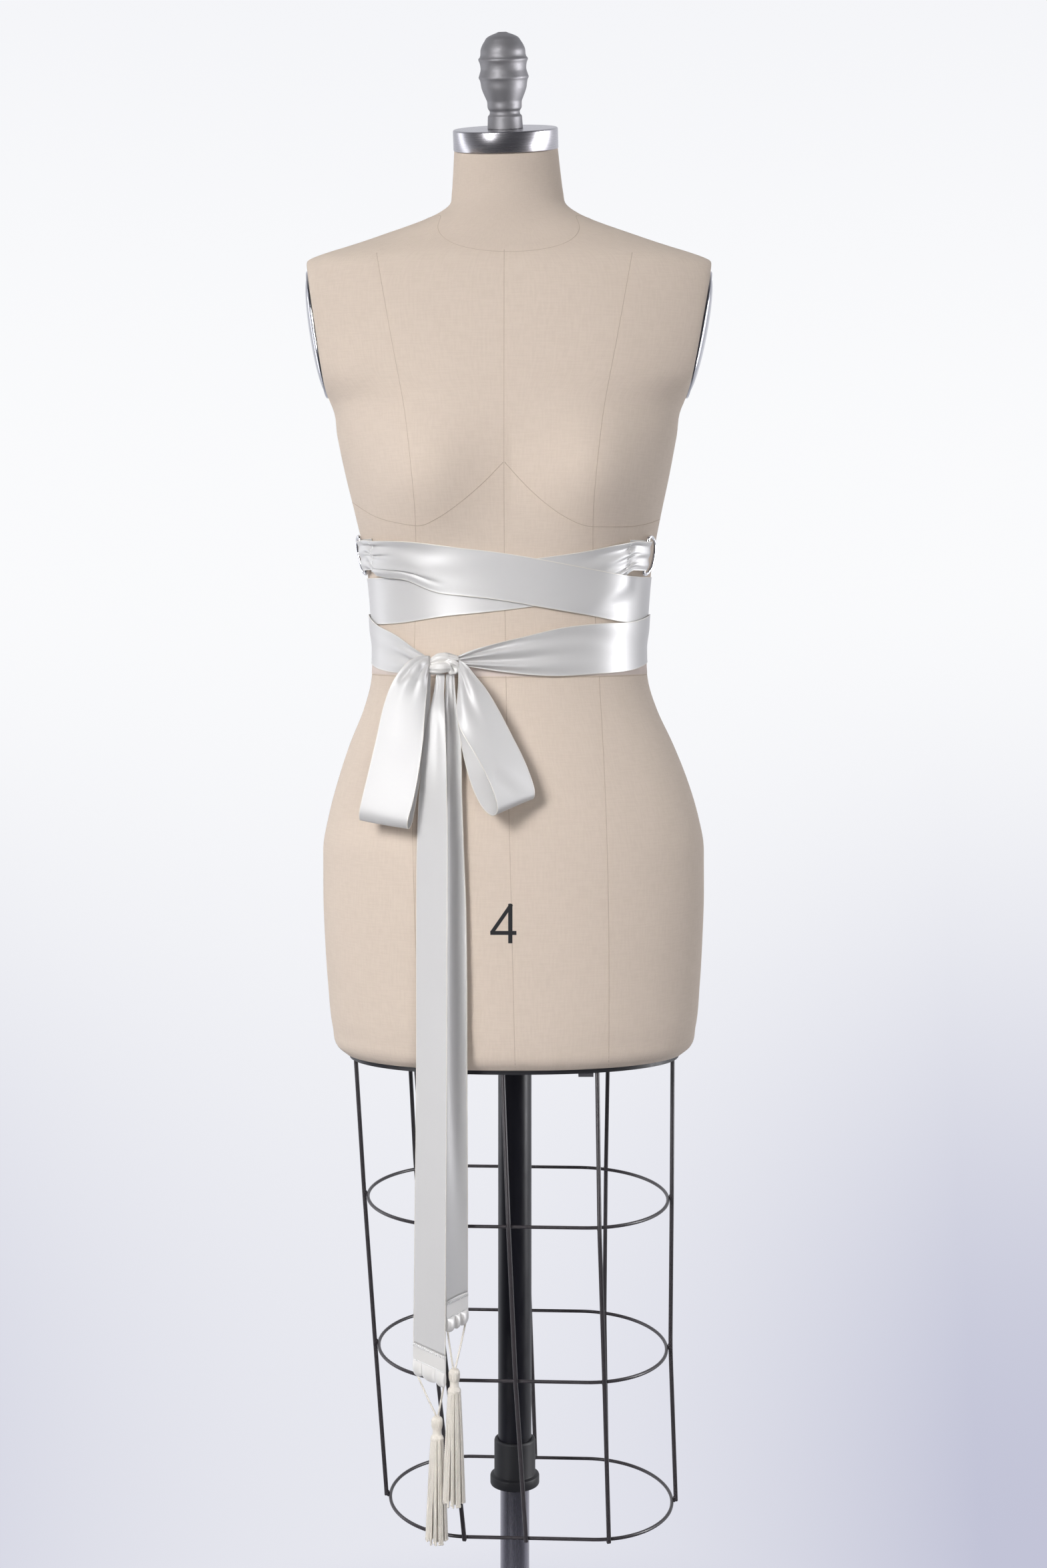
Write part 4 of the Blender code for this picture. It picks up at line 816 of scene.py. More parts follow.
def strip_grid(table, creases, tuck=0.0):
    """Points of a ribbon between its two selvedges, cupped along the middle by a parabola, with its creases.
    With a tuck, that much of its width turns back behind the first selvedge, eased along its length."""
    rows = np.array(table, float)
    spot, other, cup = rows[:, :3], rows[:, 3:6], rows[:, 6]
    run = run_along((spot + other) / 2)
    at = np.linspace(0, run[-1], int(run[-1] / STRIP_STEP) + 1)
    one, two = (soften(np.stack([smooth(at, run, edge[:, i]) for i in range(3)], -1), STRIP_SOFTENING)
                for edge in (spot, other))
    start, reach, stop, back = TUCK_EASE
    hidden = tuck * smoothstep((at - start) / reach) * smoothstep((run[-1] - stop - at) / back)
    shown = np.linalg.norm(two - one, axis=1)
    t = (ACROSS * (hidden + shown)[:, None] - hidden[:, None]) / shown[:, None]
    front, behind = np.maximum(t, 0), np.minimum(t, 0) * shown[:, None]
    flat = one[:, None] + (two - one)[:, None] * front[..., None]
    bow = smooth(at, run, cup)[:, None] * 4 * front * (1 - front)
    grid = flat + surface_normals(one[:, None] + (two - one)[:, None] * ACROSS[:, None]) * bow[..., None]
    grid = grid - behind[..., None] * TUCK_WAY
    if tuck:
        grid = soften(grid.transpose(1, 0, 2), 3).transpose(1, 0, 2)
    crease = creased(at[:, None], ACROSS * RIBBON_WIDTH, creases)
    room = np.clip(shown / RIBBON_WIDTH, 0.25, 1)[:, None]
    return soften(grid + surface_normals(grid) * (crease * room)[..., None], 2)


def on_grid(grid, row, share):
    """Points of a ribbon's grid at fractional rows and shares across, by linear interpolation."""
    row, share = np.broadcast_arrays(np.asarray(row, float), share)
    r = np.clip(row.astype(int), 0, len(grid) - 2)
    c = np.clip(np.searchsorted(ACROSS, share, side="right") - 1, 0, len(ACROSS) - 2)
    p, q = (row - r)[:, None], ((share - ACROSS[c]) / (ACROSS[c + 1] - ACROSS[c]))[:, None]
    return (grid[r, c] * (1 - p) * (1 - q) + grid[r + 1, c] * p * (1 - q)
            + grid[r, c + 1] * (1 - p) * q + grid[r + 1, c + 1] * p * q)


def stitching(name, grid, row):
    """A zigzag of thread across a ribbon: it runs from one selvedge to the other and swings to both sides."""
    swing, pitch, thread = STITCH
    width = np.linalg.norm(grid[int(row), -1] - grid[int(row), 0])
    share = np.linspace(0.02, 0.98, int(width / pitch) * 4 + 1)
    sway = zigzag(len(share))
    line = on_grid(grid, row + swing * sway, share)
    out = unit(on_grid(surface_normals(grid), row, share))
    out = out * np.sign(-(out[:, 1:2]) + 1e-6)
    rise = SATIN_HALF + 0.24 - 0.25 * np.abs(sway)[:, None]
    skin(name, [tube(line + out * rise, thread, 6, upright=(0.3, 1, 0.2))], "thread")


def build_form():
    """The linen cover of the form, its seams, its waist tape and its size numeral."""
    turn = np.union1d(FORM_ANGLES, FORM_EXTRA_ANGLES)
    levels = np.unique(np.concatenate([np.linspace(low, high, steps + 1) for low, high, steps in FORM_RUNS]))
    cover = form_point(turn[None, :], levels[:, None])
    skin("form_linen", [cover], "linen", ["form_body"], sharp=60)
    build_seams()

    def flat_band(angle, z, outer, inner):
        """A closed band that lies on the form, from its inner to its outer height over it."""
        base, normal = form_point(angle, z), form_normal(angle, z)
        return np.concatenate([base + normal * outer, (base + normal * inner)[:, ::-1]], axis=1)

    z = np.linspace(*WAIST_TAPE, 3)
    skin("waist_tape", [flat_band(FORM_ANGLES[:, None], z, *TAPE_HEIGHTS)], "tape", loop=True, sharp=60)
    strokes = []
    for x1, z1, x2, z2, width in NUMERAL:
        run = np.linspace(0, 1, 12)[:, None]
        wide = np.linspace(-0.5, 0.5, 4)[None, :] * width
        length = math.hypot(x2 - x1, z2 - z1)
        x = x1 + (x2 - x1) * run + wide * (z2 - z1) / length
        height = z1 + (z2 - z1) * run - wide * (x2 - x1) / length
        strokes.append(flat_band(form_angle(x, height), height, *INK_HEIGHTS))
    skin("size_numeral", strokes, "ink", sharp=60)


def seam_line(angle, z, sunk=0.45):
    """A fine cord let into the form, by a share of its radius, along a line of angles and heights."""
    angle, z = np.broadcast_arrays(angle, z)
    line = form_point(angle, z) - form_normal(angle, z) * SEAM_RADIUS * sunk
    return tube(line, SEAM_RADIUS, 6, upright=(0.31, 0.9, 0.3))


def build_seams():
    """Seams of the form: princess, centre and side seams, those under the bust, at the waist and the neck."""
    lines = []
    for side, back in ((1, False), (-1, False), (1, True), (-1, True)):
        z = np.linspace(PRINCESS_SEAM[-1][0], PRINCESS_SEAM[0][0], 170)
        centre = curve(z, CENTRE_SEAM) * (z < SEAM_TOPS["front"])
        x = side * curve(z, PRINCESS_SEAM) * (PRINCESS_BACK if back else 1) + (0 if back else centre)
        lines.append(seam_line(form_angle(x, z, back), z))
    for back, end in ((False, "front"), (True, "back")):
        z = np.linspace(SEAM_FOOT, SEAM_TOPS[end], 180)
        lines.append(seam_line(form_angle(curve(z, CENTRE_SEAM), z, back), z))
    lines += [seam_line(side * SIDE_SEAM_ANGLE, np.linspace(*part))
              for side in (-1, 1) for part in SIDE_SEAMS]
    for known in BUST_SEAMS:
        x = np.linspace(known[0][0], known[-1][0], 70)
        z = curve(x, known)
        lines.append(seam_line(form_angle(x, z), z, sunk=0.1))
    turn = np.linspace(-180, 180, 181)
    lines.append(seam_line(turn, WAIST_Z))
    front, rise, reach = NECK_SEAM
    lines.append(seam_line(turn, front + rise * smoothstep(np.abs(turn) / reach)))
    skin("form_seams", lines, "seam")


def neck_place(grid):
    """Points of a piece on the neck, turned square to the neck's slope and put on its top."""
    turn = np.array(Euler((NECK_TILT, -NECK_SIDE_TILT, 0)).to_matrix())
    return grid @ turn.T + (NECK_CENTRE[0], NECK_CENTRE[1], FORM_TOP + ROUND_GAP)


def build_neck():
    """The brushed cap on the neck, with rounded edges, and the turned finial on it."""
    edge = [(CAP_HEIGHT - CAP_ROUNDING + CAP_ROUNDING * math.sin(a),
             CAP_RADIUS - CAP_ROUNDING + CAP_ROUNDING * math.cos(a)) for a in np.linspace(0, math.pi / 2, 7)]
    cap = [(0, CAP_RADIUS - 0.6), (0.6, CAP_RADIUS), *edge, (CAP_HEIGHT, CAP_RADIUS * 0.6)]
    skin("neck_cap_brushed", [neck_place(turned(cap))], "brushed_steel", ["neck_cap"], sharp=50)
    foot = CAP_HEIGHT + SEAT_GAP
    knob = turned([(foot + h, r) for h, r in FINIAL_PROFILE], 72, step=0.8)
    skin("finial_cast", [neck_place(knob)], "grey_casting", ["finial"], sharp=40)


def build_arm_plates():
    """Domed oval plates on the armholes: a flat rim, then a quarter ellipse that rises to the dome."""
    turn = full_turn(72)
    inner = np.linspace(0.9, 0.03, 16)
    rim_share, rim_rise = np.array(ARM_PLATE_RIM).T
    shares = np.concatenate([rim_share, inner])
    dome = np.concatenate([0 * rim_share, np.sqrt(1 - (inner / rim_share[-1]) ** 2)])
    rises = np.concatenate([rim_rise, np.full(len(inner), rim_rise[-1])]) * ARM_PLATE_EDGE
    rises = rises + dome * (ARM_PLATE_BULGE - ARM_PLATE_EDGE)
    z = ARM_PLATE_Z + ARM_PLATE_HALF_HEIGHT * shares[:, None] * np.cos(turn)
    y = ARM_PLATE_Y + ARM_PLATE_HALF_DEPTH * shares[:, None] * np.sin(turn)
    for name, sign in (("left", -1), ("right", 1)):
        x = form_size(z, "centre") + sign * (armhole_flat(z) + ROUND_GAP + rises[:, None])
        skin(f"arm_plate_polished_{name}", [np.stack([x, y, z], -1)], "plate_chrome",
             [f"arm_plate_{name}"], sharp=50)


def hoop_line(z, centre_x, half_width, half_depth):
    """Points round a hoop: straight across the front and the back, with elliptical ends."""
    straight = CAGE_STRAIGHT * half_width
    arc = np.radians(np.linspace(0, 90, 25))
    side = straight + (half_width - straight) * np.sin(arc)
    deep = half_depth * np.cos(arc)
    run = np.linspace(-straight, straight, 12)[1:-1]
    x = np.concatenate([side, side[-2::-1], -run, -side, -side[-2::-1], run])
    across = np.full(10, half_depth)
    y = np.concatenate([-deep, deep[-2::-1], across, deep, -deep[-2::-1], -across])
    return np.stack([centre_x + x, CAGE_CENTRE_Y + y - CAGE_TURN * x, np.full_like(x, z)], -1)


def hoop_depth(x, z, centre_x, half_width, half_depth):
    """Half depth of a hoop at x, and how far the cage's turn brings it forward there."""
    straight = CAGE_STRAIGHT * half_width
    share = max(0.0, abs(x - centre_x) - straight) / (half_width - straight)
    return half_depth * math.sqrt(1 - share * share), CAGE_TURN * (x - centre_x)


def board_edge(x, front):
    """y of the bottom board's edge at x, at its front or its back."""
    share = abs(x - form_size(FORM_BOTTOM, "centre")) / form_size(FORM_BOTTOM, "half_width")
    power = form_size(FORM_BOTTOM, "roundness")
    deep = form_size(FORM_BOTTOM, "front" if front else "back") * (1 - share ** power) ** (1 / power)
    return BOARD_INSET - deep if front else deep - BOARD_INSET


def build_cage():
    """The hoops, the struts outside them and a small weld where they meet, and the board over them."""
    for name, row in HOOPS.items():
        skin(f"hoop_{name}", [tube(hoop_line(*row), HOOP_WIRE, closed=True)], "cage_lacquer",
             [f"cage_hoop_{name}"], loop=True)
    start = FORM_BOTTOM - SEAT_GAP - BOARD_THICKNESS - SEAT_GAP
    reach = HOOP_WIRE + STRUT_WIRE + SEAT_GAP
    foot = HOOPS["bottom"][0] - HOOP_WIRE
    lines = {}
    for name, (face, board_x, *hoop_x) in STRUTS.items():
        front = face == "front"
        inset = STRUT_INSET if front else -STRUT_INSET
        lines[name] = [(board_x, board_edge(board_x, front) + inset, start)]
        for x, row in zip(hoop_x, HOOPS.values()):
            deep, forward = hoop_depth(x, *row)
            deep = (deep + reach + STRUT_SPARE) * (-1 if front else 1)
            lines[name].append((x, CAGE_CENTRE_Y + deep - forward, row[0]))
    for name, (side, board_x) in SIDE_STRUTS.items():
        lines[name] = [(board_x, CAGE_CENTRE_Y, start)]
        for z, centre_x, half_width, _ in HOOPS.values():
            out = side * (half_width + reach)
            lines[name].append((centre_x + out, CAGE_CENTRE_Y - CAGE_TURN * out, z))
    welds = []
    half_length, radius, inside = WELD
    share = np.linspace(-1, 1, 7)
    swell = radius * np.sqrt(np.clip(1.02 - share ** 2, 0.02, 1)) + 0.1
    for name, line in lines.items():
        points = along_points([*line, (*line[-1][:2], foot)], 6, softening=3)
        skin(f"strut_{name}", [tube(points, STRUT_WIRE, upright=(1, 0, 0))], "cage_lacquer",
             [f"cage_strut_{name}"], sharp=60)
        for x, y, z in line[1:]:
            inward = -unit(np.array([x - CAGE_MIDDLE_X, y - CAGE_CENTRE_Y, 0.0]))
            spine = np.array([x, y, z]) + inward * inside + np.outer(share, (0, 0, half_length))
            welds.append(tube(spine, swell, 10, upright=(1, 0, 0)))
    skin("cage_welds", welds, "cage_lacquer")

    outline = form_point(FORM_ANGLES, FORM_BOTTOM)
    outline[:, :2] -= unit(outline[:, :2]) * BOARD_INSET
    board = np.array([outline - (0, 0, SEAT_GAP + down) for down in (BOARD_THICKNESS, 0)])
    skin("bottom_board_black", [board], "black_metal", ["bottom_board"], sharp=40)
    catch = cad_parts["board_catch"]
    catch.data.materials.clear()
    catch.data.materials.append(FINISH["brushed_steel"][0])


def node_size(name):
    """Lowest and highest z of a node, and half its width, in millimetres."""
    low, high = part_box(name)
    return low.z / MM, high.z / MM, (high.x - low.x) / 2 / MM


def build_stand():
    """The base, pole, sliding tube and two-step collar, turned with small rounded edges."""
    low, high, radius = node_size("base")
    rim = [(low, radius - 1.0), (low + 1.0, radius)]
    rim += [(low + 6.0 + 1.5 * math.sin(a), radius - 1.5 + 1.5 * math.cos(a)) for a in np.linspace(0, 1.2, 5)]
    plate = [*rim, (13, 200), (16.6, 140), (20, 70), (22.5, 48), (30, 34), (high - 3, 24), (high - 1, 23.4),
             (high, 22), (high, BASE_BORE), (low + 9.7, BASE_BORE)]
    skin("base_disc", [turned(plate, 128)], "black_metal", ["base"], body="stand", at_form=False, sharp=35)

    low, high, radius = node_size("pole")
    rod = [(low, radius - 0.6), (low + 0.6, radius), (high - 0.8, radius), (high, radius - 0.8)]
    skin("pole_steel", [turned(rod, 64)], "pole_steel", ["pole"], body="stand", at_form=False, sharp=40)

    low, high, radius = node_size("tube")
    plug = high - 5.0
    shell = [(low, TUBE_BORE), (low, TUBE_NECK), (plug, TUBE_NECK), (plug, radius - 0.6),
             (plug + 0.6, radius), (high - 0.6, radius), (high, radius - 0.6), (high, TUBE_BORE)]
    skin("tube_black", [turned(shell, 64)], "tube_lacquer", ["tube"], loop=True, at_form=False, sharp=40)

    low, high, radius = node_size("collar")
    grip = [(low, TUBE_BORE), (low, radius - 1.4), (low + 0.5, radius - 0.4), (low + 1.4, radius),
            (low + 7.6, radius), (low + 8.6, radius - 0.4), (low + 9.0, radius - 1.4), (low + 9.6, 18.8),
            (low + 10.6, 18.4), (high - 2, 18.4), (high - 0.7, 18.0), (high, 17.2), (high, COLLAR_BORE),
            (low + 6.0, COLLAR_BORE), (low + 6.0, TUBE_BORE)]
    skin("collar_black", [turned(grip, 64)], "collar_plastic", ["collar"], loop=True, at_form=False, sharp=40)


def build_sash():
    """Both sashes with their stitched ends and the metal loops in them."""
    def a_lift(angle, z):
        return lift_over(SASH_B, a_over_b, angle, z)

    def b_lift(angle, z):
        return lift_over(SASH_A, lambda along: 1.0, angle, z) * (1 - a_over_b(angle))

    sash("sash_a", SASH_A, a_lift, "left", CREASES_A_START, FOLDS_A_START, CREASES_A_KNOT)
    sash("sash_b", SASH_B, b_lift, "right", CREASES_B_START, FOLDS_B_START, CREASES_B_KNOT)
    for name, (_, bar_angle, top, bottom) in SASH_ENDS.items():
        centre, _, up, side = end_frame(bar_angle, top, bottom)
        half = LOOP_HALF_HEIGHT - LOOP_WIRE
        bar = [centre + up * h for h in np.linspace(half, -half, 15)]
        bow = [centre + side * LOOP_WIDTH * math.cos(a) ** LOOP_SQUARENESS
               + up * LOOP_HALF_HEIGHT * math.copysign(abs(math.sin(a)) ** LOOP_SQUARENESS, a)
               for a in np.radians(np.linspace(-82, 82, 41))]
        out = form_normal(bar_angle, (top + bottom) / 2)
        skin(f"metal_loop_polished_{name}", [tube(bar + bow, LOOP_WIRE, closed=True, upright=out)], "chrome",
             [f"metal_loop_{name}"], loop=True)


def build_bow():
    """The loops, tails and knot of the bow, with the tails' hems, cords and tassels."""
    for name, table, creases in (("loop_left", LEFT_LOOP, CREASES_LEFT_LOOP),
                                 ("loop_right", RIGHT_LOOP, CREASES_RIGHT_LOOP)):
        grid = strip_grid(table, creases)
        ribbon(f"{name}_satin", grid, [name])
    for name, table, creases, tuck in (("front", FRONT_TAIL, CREASES_FRONT_TAIL, 0.0),
                                       ("rear", REAR_TAIL, CREASES_REAR_TAIL, REAR_TUCK)):
        grid = strip_grid(table, creases, tuck)
        piece = ribbon(f"tail_{name}_satin", grid, [f"tail_{name}"])
        hem = build_hem(name, *HEMS[name])
        build_cords(name)
        build_tassel(name, *TASSELS[name])
    build_knot()


def knot_room(points):
    """How far points are inside the knot (above 0) or outside it: the smooth greatest of an egg shape and of
    each roll, log(sum(exp(depth / blend))) * blend, with fine lengthwise wrinkles on the rolls."""
    core = 1 - np.sqrt((((points - KNOT_CENTRE) / KNOT_RADII) ** 2).sum(-1))
    total = np.exp(np.clip(core * min(KNOT_RADII) / KNOT_BLEND, -60, 60))
    height, around, along = KNOT_WRINKLES
    for number, roll in enumerate(KNOT_ROLLS.values()):
        line = along_points([row[:3] for row in roll], 1.0, softening=3)
        share = np.linspace(0, 1, len(line))
        radius = np.interp(share, np.linspace(0, 1, len(roll)), [row[3] for row in roll])
        apart = points[..., None, :] - line
        away = np.linalg.norm(apart, axis=-1) - radius
        near = away.argmin(-1)
        offset = np.take_along_axis(apart, near[..., None, None], -2)[..., 0, :]
        turn = np.arctan2(offset[..., 2], -offset[..., 1])
        depth = height * np.sin(around * turn + number + near * along) - away.min(-1)
        total = total + np.exp(np.clip(depth / KNOT_BLEND, -60, 60))
    return np.log(total) * KNOT_BLEND


def build_knot():
    """The knot: along rays from its middle, the outermost place where knot_room is 0, found by halving."""
    polar = np.radians(np.linspace(2, 178, KNOT_RAYS[0]))[:, None]
    turn = full_turn(KNOT_RAYS[1])[None, :]
    way = np.stack([-np.cos(polar) + 0 * turn, -np.sin(polar) * np.cos(turn),
                    np.sin(polar) * np.sin(turn)], -1)
    start, stop, step = KNOT_SEARCH
    near = np.full(way.shape[:2], start)
    for distance in np.arange(start, stop, step):
        near[knot_room(way * distance + KNOT_CENTRE) > 0] = distance
    far = near + step
    for _ in range(KNOT_HALVINGS):
        middle = (near + far) / 2
        inside = knot_room(way * middle[..., None] + KNOT_CENTRE) > 0
        near, far = np.where(inside, middle, near), np.where(inside, far, middle)
    skin("knot_satin", [way * near[..., None] + KNOT_CENTRE], "satin_painted_lighter", ["knot"])


def build_hem(name, x1, y1, z1, x2, y2, z2, drop):
    """The hem of a tail: a flat band of two layers, then a casing drawn into puffs. Their swell is a half
    circle down it and |sin|^0.7 across it, with a scalloped edge and two rows of stitching."""
    one, two = np.array([x1, y1, z1], float), np.array([x2, y2, z2], float)
    down = np.array([0, 0, -1.0])
    flat, casing = np.linspace(0, 0.5, 9), np.linspace(HEM_FLAT_SHARE, 1, 33)
    u, v = np.meshgrid(np.linspace(0, 1, 61), np.concatenate([flat, casing]), indexing="ij")
    facing = unit(np.cross(unit(two - one), down))
    uneven = u + 0.045 * np.sin(2 * math.pi * u) * (1 if name == "front" else -1)
    puff = np.abs(np.sin(math.pi * HEM_PUFFS * uneven)) ** 0.7
    length = drop - HEM_SCALLOP * (1 - puff)
    middle = one + (two - one) * u[..., None] + (length * v)[..., None] * down
    swell = np.clip((v - HEM_FLAT_SHARE) / (1 - HEM_FLAT_SHARE), 0, 1)
    fullness = HEM_LEAST_FULLNESS + (1 - HEM_LEAST_FULLNESS) * puff
    full = HEM_PUFF_THICKNESS * fullness * np.sqrt(np.clip(1 - (2 * swell - 1) ** 2, 0, 1))
    wrinkle = 0.35 * np.sin(u * 61) * np.sin(math.pi * swell) * (1 - puff)
    least = HEM_FLAT_THICKNESS * (1 - swell) + HEM_EDGE_THICKNESS * swell
    thick = np.where(v < HEM_FLAT_SHARE, HEM_FLAT_THICKNESS, np.maximum(full + wrinkle, least))
    half = facing * (thick / 2)[..., None]
    section = np.concatenate([(middle + half), (middle - half)[:, ::-1]], axis=1)
    piece = skin(f"hem_{name}_satin", [section], "satin_painted_lighter", [f"hem_{name}"], sharp=70)
    rows = []
    out = facing * math.copysign(1, -facing[1])
    for row, swing, count in HEM_STITCHING:
        share = np.linspace(0.01, 0.99, count * 4 + 1)
        line = one + (two - one) * share[:, None] + (drop * row + swing * zigzag(len(share)))[:, None] * down
        rows.append(tube(line + out * (HEM_FLAT_THICKNESS / 2 + 0.2), 0.3, 6, upright=out))
    skin(f"hem_stitching_{name}", rows, "thread")
    return piece


def build_cords(name):
    """Two twisted cords that hang from the ends of a hem's casing and meet over its tassel."""
    ends = np.array(HEMS[name][:6]).reshape(2, 3)
    x, y, top, _ = TASSELS[name]
    for side, hem, other, sign in (("left", ends[0], ends[1], -1), ("right", ends[1], ends[0], 1)):
        inward = (other - hem)[:2]
        start = hem + (*(inward * (CORD_INSET / np.linalg.norm(inward))),
                       HEM_SCALLOP - HEMS[name][6] + CORD_IN_HEM)
        end = np.array([x + sign * (CORD_RADIUS + SEAT_GAP), y, top + CORD_RADIUS + SEAT_GAP / 3])
        share = np.linspace(0, 1, 101)[:, None]
        line = start + (end - start) * share + np.array([0, 0, -CORD_SAG]) * share * (1 - share)
        inside = end + np.linspace(0.1, 1, 12)[:, None] * (-0.6 * sign, 0, -CORD_IN_HEAD)
        line = soften(np.concatenate([line, inside]), 6)
        rings = tube(line, CORD_RADIUS, upright=(0.2, 1, 0), lobes=2, depth=CORD_TWIST_DEPTH,
                     twist=STRAND_TWIST)
        piece = skin(f"cord_{name}_{side}_twisted", [rings], "rayon", [f"cord_{name}_{side}"], sharp=80)


def build_tassel(name, x, y, top, bottom):
    """A tassel: a head wrapped in fine thread, and twisted strands that fan out from it to frayed tips."""
    depth = np.linspace(0, TASSEL_PROFILE[-1][0], 70)[:, None]
    turn = full_turn(96)[None, :]
    start, stop, ease = TASSEL_BINDING
    bulb, collar = 1 - smoothstep((depth - start) / ease), smoothstep((depth - stop) / ease)
    count, twist, height = TASSEL_RIBS
    strands = np.cos(count * turn + twist * depth) * height * (bulb + collar)
    pitch, height = TASSEL_THREAD
    bound = np.cos(2 * math.pi * depth / pitch + turn) * height * (1 - np.clip(bulb + collar, 0, 1))
    radius = np.maximum(curve(depth, TASSEL_PROFILE) + strands + bound, 0.3)
    head = np.stack([radius * np.cos(turn), radius * np.sin(turn), -depth + 0 * turn], -1)
    skin(f"tassel_{name}_head", [head + (x, y, top)], "rayon", [f"tassel_{name}"], sharp=80)

    rng = np.random.default_rng(11)
    root = top - TASSEL_ROOT
    share = np.linspace(0, 1, 230)
    fray = 1 + 0.35 * smoothstep((share - 0.975) / 0.02) - 0.75 * smoothstep((share - 0.992) / 0.008)
    tubes = []
    for count, root_radius, tip_radius in STRAND_RINGS:
        for turn in (np.arange(count) + 0.5 * (count % 2)) * 2 * math.pi / count:
            turn = turn + rng.uniform(-0.1, 0.1)
            tip = bottom + 0.6 + rng.uniform(0, 4.5)
            spread = root_radius + (tip_radius * rng.uniform(0.9, 1.04) - root_radius) * share ** 0.75
            sway = rng.uniform(-0.05, 0.05) * np.sin(share * rng.uniform(3, 6))
            line = np.stack([x + spread * np.cos(turn + sway), y + spread * np.sin(turn + sway),
                             root + (tip - root) * share], -1)
            tubes.append(tube(line, STRAND_RADIUS * fray, 6, upright=(0, 1, 0), lobes=2,
                              depth=STRAND_TWIST_DEPTH, twist=STRAND_TWIST))
    skin(f"tassel_{name}_strands", tubes, "rayon")


def group(name, inputs, outputs):
    """A shader node group with named sockets: its tree, its inputs, and the node that takes its outputs.
    Inputs are (name, kind) or (name, kind, default), and outputs (name, kind)."""
    made = bpy.data.node_groups.new(name, "ShaderNodeTree")
    for way, sockets in (("INPUT", inputs), ("OUTPUT", outputs)):
        for socket_name, kind, *default in sockets:
            socket = made.interface.new_socket(socket_name, in_out=way, socket_type=f"NodeSocket{kind}")
            if default:
                socket.default_value = default[0]
    return Tree(made), made.nodes.new("NodeGroupInput").outputs, made.nodes.new("NodeGroupOutput")


class Tree:
    """Short ways to add nodes to a tree. A value given to an input may be a socket, a number or a tuple."""

    def __init__(self, tree):
        self.tree = tree

    def fill(self, node, inputs):
        for key, value in inputs.items():
            if isinstance(value, bpy.types.NodeSocket):
                self.tree.links.new(value, node.inputs[key])
            else:
                node.inputs[key].default_value = value
        return node

    def add(self, kind, inputs=None, **settings):
        node = self.tree.nodes.new(f"ShaderNode{kind}")
        for key, value in settings.items():
            setattr(node, key, value)
        return self.fill(node, inputs or {})

    def use(self, made, **inputs):
        """A node group placed in this tree, with its own values."""
        node = self.tree.nodes.new("ShaderNodeGroup")
        node.node_tree = made
        return self.fill(node, inputs).outputs

    def math(self, operation, a, b=0.0, c=0.0):
        return self.add("Math", {0: a, 1: b, 2: c}, operation=operation).outputs[0]

    def ramp(self, value, low, high, out_low=0.0, out_high=1.0):
        """Value taken from low..high to out_low..out_high, eased at both ends."""
        node = self.add("MapRange", {"Value": value, "From Min": low, "From Max": high, "To Min": out_low,
                                     "To Max": out_high}, interpolation_type="SMOOTHSTEP")
        return node.outputs["Result"]

    def mix(self, factor, a, b, blend="MIX"):
        node = self.add("Mix", {"Factor": factor}, data_type="RGBA", blend_type=blend)
        for key, value in (("A", a), ("B", b)):
            socket = [s for s in node.inputs if s.name == key and s.type == "RGBA"][0]
            if isinstance(value, bpy.types.NodeSocket):
                self.tree.links.new(value, socket)
            else:
                socket.default_value = (*value, 1)
        return [s for s in node.outputs if s.type == "RGBA"][0]

    def noise(self, vector, scale, detail, roughness=0.5):
        return self.add("TexNoise", {"Vector": vector, "Scale": scale, "Detail": detail,
                                     "Roughness": roughness}).outputs["Fac"]

    def bump(self, shader, height, distance, strength=1.0):
        """Feeds a height in metres, scaled by distance, into the shader's normal."""
        node = self.add("Bump", {"Height": height, "Distance": distance, "Strength": strength})
        self.fill(shader, {"Normal": node.outputs["Normal"]})


def weave_group():
    """Plain weave: the product of two sine ribs at right angles, plus Slub times the noise stretched along
    each of them."""
    t, into, out = group("plain weave",
                         [("Vector", "Vector"), ("Threads", "Float", 1000.0), ("Slub", "Float", 0.5)],
                         [("Height", "Float"), ("Slubs", "Float")])
    parts = t.add("SeparateXYZ", {0: into["Vector"]}).outputs
    waves, slubs = [], []
    for axis, stretch in (("X", (260, 26, 1)), ("Y", (26, 260, 1))):
        vector = t.add("Mapping", {"Vector": into["Vector"], "Scale": stretch}).outputs["Vector"]
        slubs.append(t.noise(vector, 3.0, 2.0))
        turn = t.math("MULTIPLY", into["Threads"], 6.2832)
        waves.append(t.math("SINE", t.math("MULTIPLY", parts[axis], turn)))
    both = t.math("ADD", *slubs)
    height = t.math("MULTIPLY_ADD", both, into["Slub"], t.math("MULTIPLY", *waves))
    t.fill(out, {"Slubs": both, "Height": height})
    return t.tree


def mottle_group():
    """Slow variation of tone over a surface: the colour times 1 + (noise - 0.5) * Amount."""
    t, into, out = group("mottle", [("Vector", "Vector"), ("Color", "Color", (1, 1, 1, 1)),
                                    ("Scale", "Float", 8.0), ("Amount", "Float", 0.1)], [("Color", "Color")])
    tone = t.noise(into["Vector"], into["Scale"], 4.0)
    light = t.math("MULTIPLY_ADD", t.math("SUBTRACT", tone, 0.5), into["Amount"], 1.0)
    shade = t.add("CombineColor", {0: light, 1: light, 2: light})
    t.fill(out, {"Color": t.mix(1.0, into["Color"], shade.outputs[0], "MULTIPLY")})
    return t.tree


